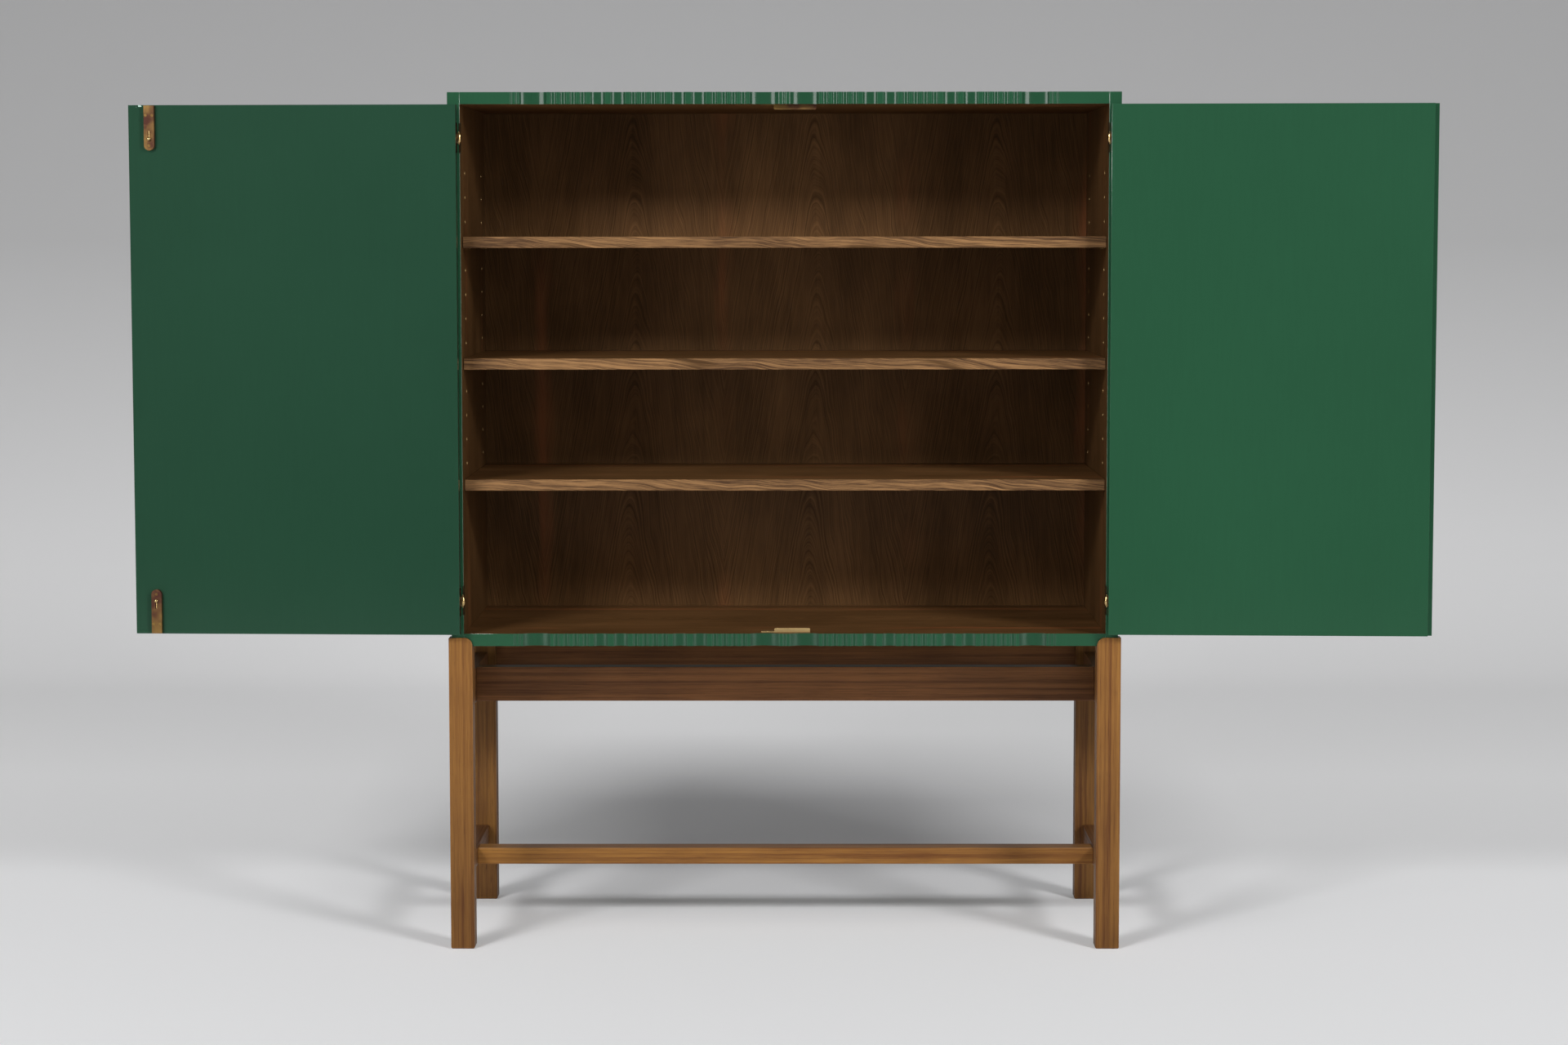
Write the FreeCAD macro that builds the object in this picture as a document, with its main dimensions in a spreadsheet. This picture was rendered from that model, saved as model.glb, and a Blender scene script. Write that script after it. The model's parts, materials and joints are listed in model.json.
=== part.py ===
import FreeCAD, Part
import os
import re
import Sketcher

"""A two-door storage cabinet with inset fluted doors, on an open stand of four legs.

Millimetres, +Z up. The origin is on the floor at the middle of the stand, with the front at -Y
and +X to the right. The doors stand open, as in use.
"""

# Driving sizes, in millimetres and degrees: alias, value, meaning

CASE_SIZES = (
    ("case_width", 1180.0, "outside width of the case"),
    ("case_depth", 488.0, "outside depth of the case"),
    ("case_height", 975.0, "outside height of the case"),
    ("case_floor", 543.0, "underside of the case above the floor"),
    ("side_thickness", 22.0, "side panels"),
    ("top_thickness", 21.0, "top board"),
    ("bottom_thickness", 22.0, "bottom board"),
    ("back_thickness", 12.0, "back panel"),
    ("back_inset", 12.0, "back panel in from the rear edge"),
    ("back_groove", 6.0, "depth of the grooves round the back panel"),
    ("tongue_thickness", 8.0, "tongues of the top and bottom boards"),
    ("tongue_depth", 7.0, "tongues into the side panels"),
    ("tongue_stop", 40.0, "tongues start behind the front"),
)

STAND_SIZES = (
    ("stand_side_margin", 5.0, "legs beyond each side of the case"),
    ("stand_end_margin", 6.0, "legs beyond the front and the rear of the case"),
    ("leg_size", 42.0, "square legs"),
    ("leg_lap", 15.0, "legs up the sides of the case"),
    ("leg_corner", 14.0, "round inner corner of each leg top"),
    ("foot_bevel", 2.0, "bevel round each foot"),
    ("rail_drop", 66.0, "upper rails below the case"),
    ("rail_height", 63.0, "upper rails"),
    ("rear_rail_rise", 14.0, "rear rail above the other upper rails"),
    ("rail_thickness", 24.0, "upper side and rear rails"),
    ("rail_inset", 3.0, "rails in from the outside of the legs"),
    ("middle_rail_thickness", 32.0, "upper middle rail"),
    ("stretcher_top", 144.0, "top of the low side stretchers"),
    ("stretcher_height", 34.0, "low side stretchers"),
    ("low_middle_top", 141.0, "top of the low middle stretcher"),
    ("low_middle_height", 30.0, "low middle stretcher"),
    ("low_middle_width", 43.0, "low middle stretcher, front to back"),
    ("tenon_length", 20.0, "tenons into the legs"),
    ("tenon_thickness", 8.0, "tenons into the legs"),
    ("tenon_shoulder", 7.0, "shoulder above and below each tenon"),
    ("cross_tenon_length", 12.0, "tenons of the middle rails"),
    ("dowel_diameter", 10.0, "dowel between leg and side panel"),
    ("dowel_length", 26.0, "dowel between leg and side panel"),
)

DOOR_SIZES = (
    ("door_thickness", 22.0, "doors"),
    ("door_gap", 1.5, "gap above, below and between the doors"),
    ("hinge_gap", 1.0, "gap between a door and the side panel"),
    ("lip_width", 8.0, "lip of the left door past the middle"),
    ("lip_clearance", 0.5, "gap between the lip and the rebate over it"),
    ("left_angle", 182.6, "left door, open from closed"),
    ("right_angle", 177.4, "right door, open from closed"),
    ("knuckle_diameter", 10.0, "hinge knuckle at its widest"),
    ("knuckle_shoulder_diameter", 8.6, "hinge knuckle at its shoulder"),
    ("knuckle_shoulder", 5.5, "shoulder from the knuckle's middle"),
    ("knuckle_end_diameter", 5.0, "hinge knuckle at its end"),
    ("knuckle_height", 20.0, "both knuckle halves"),
    ("knuckle_gap", 0.3, "gap between the knuckle halves"),
    ("pin_proud", 5.3, "hinge pin in front of the case"),
    ("pin_side", 1.0, "hinge pin outside the opening's edge"),
    ("pin_diameter", 3.0, "hinge pin"),
    ("pin_clearance", 0.05, "radial clearance of the hinge pin"),
    ("pin_end", 1.5, "hinge pin ends inside the knuckle"),
    ("leaf_height", 52.0, "hinge leaf"),
    ("leaf_width", 20.0, "hinge leaf into the depth"),
    ("leaf_thickness", 2.0, "hinge leaf"),
    ("hinge_inset", 57.5, "hinge middle from the end of the door"),
    ("hinge_screw_pitch", 18.0, "hinge screws"),
    ("hinge_screw_place", 9.0, "hinge screws behind the leaf's front"),
)

SCREW_SIZES = (
    ("screw_head", 5.6, "flush head"),
    ("screw_head_depth", 2.0, "flush head"),
    ("screw_shank", 2.8, "shank"),
    ("screw_length", 13.0, "hinge, bolt and stop screws"),
    ("small_screw_head", 4.2, "head of a lock or strike screw"),
    ("small_screw_shank", 2.0, "shank of a lock or strike screw"),
    ("small_screw_length", 8.0, "lock and strike screws"),
)

BOLT_SIZES = (
    ("bolt_inset", 38.0, "bolt from the edge of the lip"),
    ("bolt_end", 1.0, "housing from the end of the door"),
    ("housing_width", 18.0, "bolt housing"),
    ("housing_length", 78.0, "bolt housing"),
    ("housing_proud", 8.0, "bolt housing"),
    ("bolt_diameter", 5.0, "bolt"),
    ("bolt_axis", 4.0, "bolt axis off the door"),
    ("bolt_clearance", 0.1, "round the bolt in its housing"),
    ("bolt_travel", 12.0, "throw of the bolt"),
    ("bolt_tail", 13.0, "bolt ends above the round end"),
    ("bolt_hole_clearance", 0.4, "round the bolt in its stop and board"),
    ("bolt_hole_depth", 15.0, "bolt hole in the board"),
    ("knob_place", 20.0, "knob from the round end, bolt drawn back"),
    ("knob_neck", 3.0, "neck of the knob"),
    ("knob_diameter", 6.0, "knob"),
    ("knob_lift", 1.0, "knob above the housing"),
    ("knob_height", 4.0, "knob"),
    ("slot_clearance", 0.4, "round the knob's neck"),
    ("housing_screw_low", 8.5, "screw from the round end"),
    ("housing_screw_high", 17.0, "screw from the square end"),
    ("housing_screw_side", 5.8, "upper screws off the bolt's line"),
)

STOP_SIZES = (
    ("stop_thickness", 1.5, "fixing flange"),
    ("stop_depth", 17.0, "fixing flange, front to back"),
    ("stop_clearance", 0.3, "between the stops and the doors"),
    ("stop_lip_thickness", 3.0, "standing lip"),
    ("stop_lip_radius", 2.5, "round corners of the lip"),
    ("low_lip", 7.5, "height of the bottom lip"),
    ("high_lip", 9.0, "height of the top lip"),
    ("lip_left", 18.5, "lips start left of the middle"),
    ("low_lip_right", 45.0, "bottom lip ends right of the middle"),
    ("high_lip_right", 56.0, "top lip ends right of the middle"),
    ("strip_left", 42.0, "flanges start left of the middle"),
    ("stop_screw_place", 10.0, "stop screws from the lip's ends"),
    ("stop_screw_depth", 11.0, "stop screws behind the lip's face"),
)

SHELF_SIZES = (
    ("shelf_thickness", 20.0, "shelves"),
    ("shelf_setback", 28.0, "shelf front behind the case front"),
    ("shelf_gap", 1.0, "each end of a shelf to the side panel"),
    ("shelf_back_gap", 2.0, "behind each shelf"),
    ("shelf_easing", 1.2, "eased front edges"),
    ("top_shelf_drop", 272.0, "underside of the top shelf below the roof"),
    ("hole_pitch", 42.9, "pitch of the shelf-pin holes"),
    ("front_holes", 82.0, "front column behind the case front"),
    ("rear_holes", 70.0, "rear column in front of the back panel"),
    ("stem_rise", 3.0, "pin stem above the shelf's underside"),
    ("stem_diameter", 5.0, "shelf-pin stem"),
    ("stem_length", 8.0, "shelf-pin stem"),
    ("pin_plate", 0.7, "shelf-pin plate beside the shelf"),
    ("pin_plate_width", 10.0, "shelf-pin plate"),
    ("pin_plate_rise", 7.0, "shelf-pin plate above the tab"),
    ("tab_length", 9.0, "shelf-pin tab under the shelf"),
    ("tab_thickness", 2.0, "shelf-pin tab"),
    ("sleeve_diameter", 7.0, "brass sleeve"),
    ("sleeve_length", 10.0, "brass sleeve"),
)

LOCK_SIZES = (
    ("lock_rise", 464.5, "middle of the lock above the door's lower edge"),
    ("lock_length", 48.0, "lock case into the door"),
    ("lock_thickness", 7.0, "lock case"),
    ("lock_tall", 64.0, "lock case"),
    ("lock_wall", 1.2, "walls of the lock case"),
    ("lock_skin", 2.5, "lock case from the door's inner face"),
    ("lock_bolt_tall", 18.0, "lock bolt"),
    ("lock_bolt_length", 18.0, "lock bolt"),
    ("lock_bolt_clearance", 0.3, "round the lock bolt"),
    ("lock_throw", 10.0, "travel of the lock bolt"),
    ("key_place", 27.0, "key from the edge of the rebate"),
    ("key_diameter", 4.0, "key shank"),
    ("key_clearance", 0.05, "round the key shank"),
    ("key_reach", 16.0, "key shank outside the door"),
    ("key_bit", 6.5, "reach of the key's bit"),
    ("key_bit_thickness", 2.0, "key's bit"),
    ("key_bow", 22.0, "outside of the key's ring"),
    ("key_bow_thickness", 3.0, "key's ring"),
    ("strike_thickness", 1.2, "strike plate"),
    ("strike_tall", 36.0, "strike plate"),
    ("strike_margin", 0.8, "strike plate in from the lip's faces"),
)

FLUTE_SIZES = (
    ("middle_bead", 12.4, "bead beside the meeting line"),
    ("bead_drop", 2.5, "quirk beside a bead"),
    ("wide_flute", 48.0, "wide flute"),
    ("wide_depth", 9.0, "wide flute"),
    ("wide_wall", 2.5, "straight wall of a wide flute"),
    ("rib", 5.6, "rib between small flutes"),
    ("small_flute", 11.5, "small flute"),
    ("small_depth", 2.7, "small flute"),
    ("medium_margin", 3.0, "flat beside a medium flute"),
    ("medium_flute", 25.0, "medium flute"),
    ("medium_depth", 5.0, "medium flute"),
    ("medium_wall", 1.2, "straight wall of a medium flute"),
    ("medium_rib", 10.5, "rib between medium flutes"),
    ("thin_bead", 3.0, "bead of the outer step"),
    ("thin_flute", 5.5, "flute of the outer step"),
    ("thin_depth", 1.6, "flute of the outer step"),
    ("end_flat", 87.6, "flat beside each side panel"),
)

# Counts
SMALL_FLUTES = 4
SHELVES = 3
PITCHES_BETWEEN_SHELVES = 5
HOLES_ABOVE_TOP_SHELF = 3
HOLES_IN_COLUMN = 14
HINGE_SCREWS = 3

# Sides of the small pieces that repeat
PEG_SIDES = 6
KNUCKLE_SIDES = 12

# Places worked out from the sizes: alias, formula
PLACES = (
    ("half_case", "case_width / 2"),
    ("half_open", "half_case - side_thickness"),
    ("front", "-case_depth / 2"),
    ("rear", "case_depth / 2"),
    ("roof", "case_floor + case_height"),
    ("open_floor", "case_floor + bottom_thickness"),
    ("open_roof", "roof - top_thickness"),
    ("back_front", "rear - back_inset - back_thickness"),
    ("stand_width", "case_width + 2 * stand_side_margin"),
    ("stand_depth", "case_depth + 2 * stand_end_margin"),
    ("leg_height", "case_floor + leg_lap"),
    ("rail_top", "case_floor - rail_drop"),
    ("leg_out_x", "stand_width / 2"),
    ("leg_in_x", "leg_out_x - leg_size"),
    ("leg_out_y", "stand_depth / 2"),
    ("leg_in_y", "leg_out_y - leg_size"),
    ("rail_out", "leg_out_x - rail_inset"),
    ("rail_in", "rail_out - rail_thickness"),
    ("rail_low", "rail_top - rail_height"),
    ("stretcher_low", "stretcher_top - stretcher_height"),
    ("low_middle_low", "low_middle_top - low_middle_height"),
    ("door_back", "front + door_thickness"),
    ("door_middle", "front + door_thickness / 2"),
    ("door_low", "open_floor + door_gap"),
    ("door_high", "open_roof - door_gap"),
    ("door_side", "half_open - hinge_gap"),
    ("meeting", "door_gap / 2"),
    ("rebate_edge", "lip_width + door_gap"),
    ("pin_x", "half_open + pin_side"),
    ("pin_y", "front - pin_proud"),
    ("low_hinge", "door_low + hinge_inset"),
    ("high_hinge", "door_high - hinge_inset"),
    ("bolt_x", "lip_width - bolt_inset"),
    ("bolt_y", "door_back + bolt_axis"),
    ("top_shelf", "roof - top_shelf_drop"),
    ("shelf_front", "front + shelf_setback"),
    ("shelf_half", "half_open - shelf_gap"),
    ("shelf_step", "hole_pitch * %d" % PITCHES_BETWEEN_SHELVES),
    ("front_pins", "front + front_holes"),
    ("rear_pins", "back_front - rear_holes"),
    ("lock_height", "door_low + lock_rise"),
    ("lock_front", "door_back - lock_skin - lock_thickness"),
    ("lock_middle", "lock_front + lock_thickness / 2"),
    ("lock_bolt_thickness", "lock_thickness - 2 * lock_wall - 2 * lock_bolt_clearance"),
    ("key_x", "rebate_edge + key_place"),
)

doc = FreeCAD.newDocument("storage_cabinet")
SIZE_GROUPS = (CASE_SIZES, STAND_SIZES, DOOR_SIZES, SCREW_SIZES, BOLT_SIZES, STOP_SIZES,
               SHELF_SIZES, LOCK_SIZES, FLUTE_SIZES)


def sheet_of_sizes():
    sheet = doc.addObject("Spreadsheet::Sheet", "Sizes")
    rows = [row for group in SIZE_GROUPS for row in group]
    for number, (alias, value, meaning) in enumerate(rows, start=1):
        sheet.set("A%d" % number, meaning)
        sheet.set("B%d" % number, str(value))
        sheet.setAlias("B%d" % number, alias)
    return sheet, [row[0] for row in rows]


def sheet_of_places(size_names):
    sheet = doc.addObject("Spreadsheet::Sheet", "Places")
    for number, (alias, formula) in enumerate(PLACES, start=1):
        text = re.sub(r"[a-z]\w+", lambda word: qualified(word.group(), size_names), formula)
        sheet.set("A%d" % number, alias.replace("_", " "))
        sheet.set("B%d" % number, "=" + text)
        sheet.setAlias("B%d" % number, alias)
    return sheet, [row[0] for row in PLACES]


def qualified(word, size_names):
    return "Sizes." + word if word in size_names else word


sizes, size_names = sheet_of_sizes()
places, place_names = sheet_of_places(size_names)
doc.recompute()


def size(name):
    """The value of a size or place."""
    return float((sizes if name in size_names else places).get(name))


def linked(text):
    """A formula in the sheets' names, as an expression for an object's property."""
    def named(word):
        name = word.group()
        if name in size_names:
            return "Sizes." + name
        return "Places." + name if name in place_names else name
    return re.sub(r"[a-z]\w+", named, text)


SUB_PARTS = []


def sub_part(thing, name):
    """Marks an object as a piece of its own, under its node's name."""
    thing.Label = name
    SUB_PARTS.append(thing)
    return thing


def place_at(thing, low):
    for axis, text in zip("xyz", low):
        thing.setExpression("Placement.Base." + axis, linked(text))
    return thing


def block(name, low, span):
    """A box from its low corner and its spans along X, Y and Z."""
    box = doc.addObject("Part::Box", name)
    for side, text in zip(("Length", "Width", "Height"), span):
        box.setExpression(side, linked(text))
    return place_at(box, low)


def rod(name, start, radius, length, toward=(0, 0, 1)):
    """A cylinder from the middle of one end, along an axis."""
    cylinder = doc.addObject("Part::Cylinder", name)
    cylinder.setExpression("Radius", linked(radius))
    cylinder.setExpression("Height", linked(length))
    turn = FreeCAD.Rotation(FreeCAD.Vector(0, 0, 1), FreeCAD.Vector(*toward))
    cylinder.Placement = FreeCAD.Placement(FreeCAD.Vector(), turn)
    return place_at(cylinder, start)


def peg(name, start, radius, length, toward):
    """A straight many-sided peg from the middle of one end, along an axis."""
    prism = doc.addObject("Part::Prism", name)
    prism.Polygon = PEG_SIDES
    prism.setExpression("Circumradius", linked(radius))
    prism.setExpression("Height", linked(length))
    turn = FreeCAD.Rotation(FreeCAD.Vector(0, 0, 1), FreeCAD.Vector(*toward))
    prism.Placement = FreeCAD.Placement(FreeCAD.Vector(), turn)
    return place_at(prism, start)


def group(name, things):
    compound = doc.addObject("Part::Compound", name)
    compound.Links = things
    return compound


def cut(name, base, tools):
    """A piece with tools taken out of it."""
    result = doc.addObject("Part::Cut", name)
    result.Base = base
    result.Tool = tools[0] if len(tools) == 1 else group(name + "_tools", tools)
    return result


def fuse(name, things):
    result = doc.addObject("Part::MultiFuse", name)
    result.Shapes = things
    result.Refine = True
    return result


def rounded(name, base, radius, chosen, kind="Part::Fillet"):
    """Fillets or bevels the edges that a test chooses."""
    doc.recompute()
    result = doc.addObject(kind, name)
    result.Base = base
    edges = [number for number, edge in enumerate(base.Shape.Edges, start=1) if chosen(edge)]
    if not edges:
        raise RuntimeError("no edge to round on " + name)
    result.Edges = [(number, radius, radius) for number in edges]
    return result


def swung(name, closed, side):
    """A door's piece, turned about the hinge pins from closed to where the door stands."""
    piece = group(name, [closed])
    angle, pin = ("-left_angle", "-pin_x") if side < 0 else ("right_angle", "pin_x")
    piece.setExpression("Placement", linked(
        "placement(vector(0; 0; 0); rotation(vector(0; 0; 1); %s); vector(%s; pin_y; 0))"
        % (angle, pin)))
    return piece


# Points nearer than this are one point
TOUCH = 0.001
# A fillet or bevel stays under this share of the wall that it is cut from
WALL_SHARE = 0.95
# The neck of a hinge leaf reaches this share of its knuckle half
NECK_SHARE = 0.8


def near(value, wanted):
    return abs(value - wanted) < TOUCH


def signed(side, text):
    return text if side > 0 else "-(%s)" % text


def side_block(name, side, near_x, far_x, low_y, width, low_z, height):
    """A box on one side of the middle plane, from its nearer to its farther X."""
    low_x = near_x if side > 0 else "-(%s)" % far_x
    return block(name, (low_x, low_y, low_z), ("(%s) - (%s)" % (far_x, near_x), width, height))


def across_block(name, half, low_y, width, low_z, height):
    """A box that spans the middle plane evenly."""
    return block(name, ("-(%s)" % half, low_y, low_z), ("2 * (%s)" % half, width, height))


def screw(name, start, toward, small=False):
    """A flush screw from the middle of its head's face."""
    kind = "small_screw" if small else "screw"
    head = peg(name + "_head", start, kind + "_head / 2", "screw_head_depth", toward)
    shank = peg(name + "_shank", start, kind + "_shank / 2", kind + "_length", toward)
    return fuse(name, [head, shank])


# The fluted fronts

def front_steps():
    """Steps of the front from the meeting line outwards: kind, width, straight wall, depth."""
    rib = ("flat", "rib")
    small = ("flute", "small_flute", None, "small_depth")
    ribs = [rib] + [small, rib] * SMALL_FLUTES
    margin = ("flat", "medium_margin")
    medium = ("flute", "medium_flute", "medium_wall", "medium_depth")
    pair = [margin, medium, ("flat", "medium_rib"), medium, margin]
    wide = ("flute", "wide_flute", "wide_wall", "wide_depth")
    thin = [("flat", "thin_bead"), ("flute", "thin_flute", None, "thin_depth")]
    bead = ("bead", "middle_bead", "bead_drop", None)
    return [bead, wide] + ribs + pair + ribs + pair + ribs + [wide] + thin + thin


def half_front(side):
    """The edges of one half of the front's plan, from the middle to the side panel."""
    front = size("front")
    steps_width = sum(size(step[1]) for step in front_steps())
    share = (size("half_open") - size("end_flat")) / steps_width
    edges = []
    here = [0.0, front + size("bead_drop")]

    def line_to(x, y):
        start = FreeCAD.Vector(side * here[0], here[1], 0)
        end = FreeCAD.Vector(side * x, y, 0)
        if start.distanceToPoint(end) > TOUCH:
            edges.append(Part.LineSegment(start, end).toShape())
        here[:] = [x, y]

    def arc_to(x, y, middle_y):
        points = [(here[0], here[1]), ((here[0] + x) / 2, middle_y), (x, y)]
        corners = [FreeCAD.Vector(side * px, py, 0) for px, py in points]
        edges.append(Part.Arc(*corners).toShape())
        here[:] = [x, y]

    for step in front_steps():
        far = here[0] + size(step[1]) * share
        if step[0] == "flat":
            line_to(here[0], front)
            line_to(far, front)
        elif step[0] == "flute":
            edge_y = front + (size(step[2]) if step[2] else 0)
            line_to(here[0], edge_y)
            arc_to(far, edge_y, front + size(step[3]))
        else:
            line_to(here[0], front + size(step[2]))
            arc_to(far, front + size(step[2]), front)
    line_to(here[0], front)
    line_to(size("half_open"), front)
    return edges


def fluted_plan(name, back):
    """The plan of a fluted board or door over the whole opening, as a face."""
    edges = half_front(-1) + half_front(1)
    half, front = size("half_open"), size("front")
    corners = [(-half, front), (-half, size(back)), (half, size(back)), (half, front)]
    points = [FreeCAD.Vector(x, y, 0) for x, y in corners]
    edges += [Part.LineSegment(a, b).toShape() for a, b in zip(points, points[1:])]
    plan = doc.addObject("Part::Feature", name)
    plan.Shape = Part.Face(Part.Wire(Part.__sortEdges__(edges)))
    return plan


def raised(name, plan, low_z, height):
    """A plan drawn upwards."""
    solid = doc.addObject("Part::Extrusion", name)
    solid.Base = plan
    solid.DirMode = "Custom"
    solid.Dir = FreeCAD.Vector(0, 0, 1)
    solid.Solid = True
    solid.setExpression("LengthFwd", linked(height))
    solid.setExpression("Placement.Base.z", linked(low_z))
    return solid


# Case

case_plan = fluted_plan("case_front_plan", "rear")
door_plan = fluted_plan("door_front_plan", "door_back")


def back_panel():
    return across_block("back_panel", "half_open + back_groove", "back_front", "back_thickness",
                        "open_floor - back_groove", "open_roof - open_floor + 2 * back_groove")


def board_tongue(name, low_z, thickness):
    return across_block(name, "half_open + tongue_depth", "front + tongue_stop",
                        "back_front - front - tongue_stop",
                        "%s + (%s - tongue_thickness) / 2" % (low_z, thickness), "tongue_thickness")


def board(name, low_z, thickness, tongue, tools):
    blank = raised(name + "_blank", case_plan, low_z, thickness)
    return cut(name, fuse(name + "_with_tongues", [blank, tongue]), tools)


def side_panel(name, side, tools):
    blank = side_block(name + "_blank", side, "half_open", "half_case", "front", "case_depth",
                       "case_floor", "case_height")
    return cut(name, blank, tools)


# Stand

def leg(name, side, end, tools):
    """A square leg whose top is rebated round the corner of the case."""
    low_x = "leg_in_x" if side > 0 else "-leg_out_x"
    low_y = "leg_in_y" if end > 0 else "-leg_out_y"
    blank = block(name + "_blank", (low_x, low_y, "0"), ("leg_size", "leg_size", "leg_height"))
    shaped = cut(name + "_jointed", blank, tools)
    inner_x, inner_y, top = side * size("leg_in_x"), end * size("leg_in_y"), size("leg_height")

    def at_inner_corner(edge):
        ends = [vertex.Point for vertex in edge.Vertexes]
        high = all(near(point.z, top) for point in ends)
        on_x = all(near(point.x, inner_x) for point in ends)
        on_y = all(near(point.y, inner_y) for point in ends)
        return high and (on_x or on_y)

    radius = min(size("leg_corner"), WALL_SHARE * (top - size("case_floor")))
    eased = rounded(name + "_eased", shaped, radius, at_inner_corner)
    return rounded(name, eased, size("foot_bevel"),
                   lambda edge: near(edge.BoundBox.ZMax, 0), "Part::Chamfer")


def side_rail(name, side, low, height, tools):
    """A rail between a front and a rear leg, and the tenon that both legs take."""
    main = side_block(name + "_length", side, "rail_in", "rail_out", "-leg_in_y", "2 * leg_in_y",
                      low, height)
    tenon = side_block(name + "_tenon", side, "(rail_in + rail_out - tenon_thickness) / 2",
                       "(rail_in + rail_out + tenon_thickness) / 2",
                       "-leg_in_y - tenon_length", "2 * (leg_in_y + tenon_length)",
                       low + " + tenon_shoulder", height + " - 2 * tenon_shoulder")
    return cut(name, fuse(name + "_with_tenons", [main, tenon]), tools), tenon


def cross_rail(name, half, low_y, width, low, height, tenon_half, tenon_low_y, tenon_width):
    """A rail from left to right, and its tenon."""
    main = across_block(name + "_length", half, low_y, width, low, height)
    tenon = across_block(name + "_tenon", tenon_half, tenon_low_y, tenon_width,
                         low + " + tenon_shoulder", height + " - 2 * tenon_shoulder")
    return fuse(name, [main, tenon]), tenon


SIDE_NAMES = {-1: "left", 1: "right"}
END_NAMES = {-1: "front", 1: "rear"}


def dowel_between(side, end):
    """A dowel between a leg and the side panel that stands on it."""
    return peg("dowel_%s_%s" % (SIDE_NAMES[side], END_NAMES[end]),
               (signed(side, "half_case - side_thickness / 2"), signed(end, "(leg_in_y + rear) / 2"),
                "case_floor - dowel_length / 2"), "dowel_diameter / 2", "dowel_length", (0, 0, 1))


def stand():
    middle, middle_tenon = cross_rail(
        "upper_middle_rail", "rail_in", "-middle_rail_thickness / 2", "middle_rail_thickness",
        "rail_low", "rail_height", "rail_in + cross_tenon_length", "-tenon_thickness / 2",
        "tenon_thickness")
    low_middle, low_tenon = cross_rail(
        "low_middle_stretcher", "rail_in", "-low_middle_width / 2", "low_middle_width",
        "low_middle_low", "low_middle_height", "rail_in + cross_tenon_length",
        "-low_middle_width / 2 + tenon_shoulder", "low_middle_width - 2 * tenon_shoulder")
    rear_middle = "leg_out_y - rail_inset - rail_thickness / 2"
    rear, rear_tenon = cross_rail(
        "upper_rear_rail", "leg_in_x", "leg_out_y - rail_inset - rail_thickness",
        "rail_thickness", "rail_low + rear_rail_rise", "rail_height", "leg_in_x + tenon_length",
        rear_middle + " - tenon_thickness / 2", "tenon_thickness")
    for piece in (middle, low_middle, rear):
        sub_part(piece, piece.Name)
    case_space = across_block("case_space", "half_case", "front", "case_depth", "case_floor",
                              "case_height")
    all_dowels = []
    for side in (-1, 1):
        name = SIDE_NAMES[side]
        upper, upper_tenon = side_rail("upper_%s_rail" % name, side, "rail_low", "rail_height",
                                       [middle_tenon])
        low, side_tenon = side_rail("low_%s_stretcher" % name, side, "stretcher_low",
                                    "stretcher_height", [low_tenon])
        sub_part(upper, upper.Name)
        sub_part(low, low.Name)
        for end in (-1, 1):
            dowel = dowel_between(side, end)
            all_dowels.append(dowel)
            tools = [case_space, upper_tenon, side_tenon, dowel]
            if end > 0:
                tools.append(rear_tenon)
            leg_name = "%s_%s_leg" % (END_NAMES[end], name)
            sub_part(leg(leg_name, side, end, tools), leg_name)
    sub_part(group("case_dowels", all_dowels), "case_dowels")
    return all_dowels


# Hinges

def outline(sketch, points, sizes_of_points):
    """A closed outline of straight lines, each point tied to the origin by two sizes."""
    vectors = [FreeCAD.Vector(x, y, 0) for x, y in points]
    count = len(vectors)
    for number in range(count):
        sketch.addGeometry(Part.LineSegment(vectors[number], vectors[(number + 1) % count]))
    for number in range(count):
        sketch.addConstraint(Sketcher.Constraint("Coincident", number, 2, (number + 1) % count, 1))
    for number, (point, texts) in enumerate(zip(points, sizes_of_points)):
        for kind, value, text in zip(("DistanceX", "DistanceY"), point, texts):
            spot = sketch.addConstraint(Sketcher.Constraint(kind, -1, 1, number, 1, value))
            label = "%s_%d" % (kind, number)
            sketch.renameConstraint(spot, label)
            sketch.setExpression("Constraints." + label, linked(text))


def knuckle_half(name, side, middle, up):
    """Half of an olive-shaped knuckle round the hinge pin, as a loft through its outlines."""
    sections = []
    for number, (diameter, rise) in enumerate((("knuckle_diameter", "knuckle_gap / 2"),
                                               ("knuckle_shoulder_diameter", "knuckle_shoulder"),
                                               ("knuckle_end_diameter", "knuckle_height / 2"))):
        ring = doc.addObject("Part::RegularPolygon", "%s_outline_%d" % (name, number))
        ring.Polygon = KNUCKLE_SIDES
        ring.setExpression("Circumradius", linked(diameter + " / 2"))
        place_at(ring, (signed(side, "pin_x"), "pin_y",
                        "%s %s (%s)" % (middle, "+" if up else "-", rise)))
        sections.append(ring)
    half = doc.addObject("Part::Loft", name)
    half.Sections = sections
    half.Solid = True
    half.Ruled = True
    return half


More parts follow.
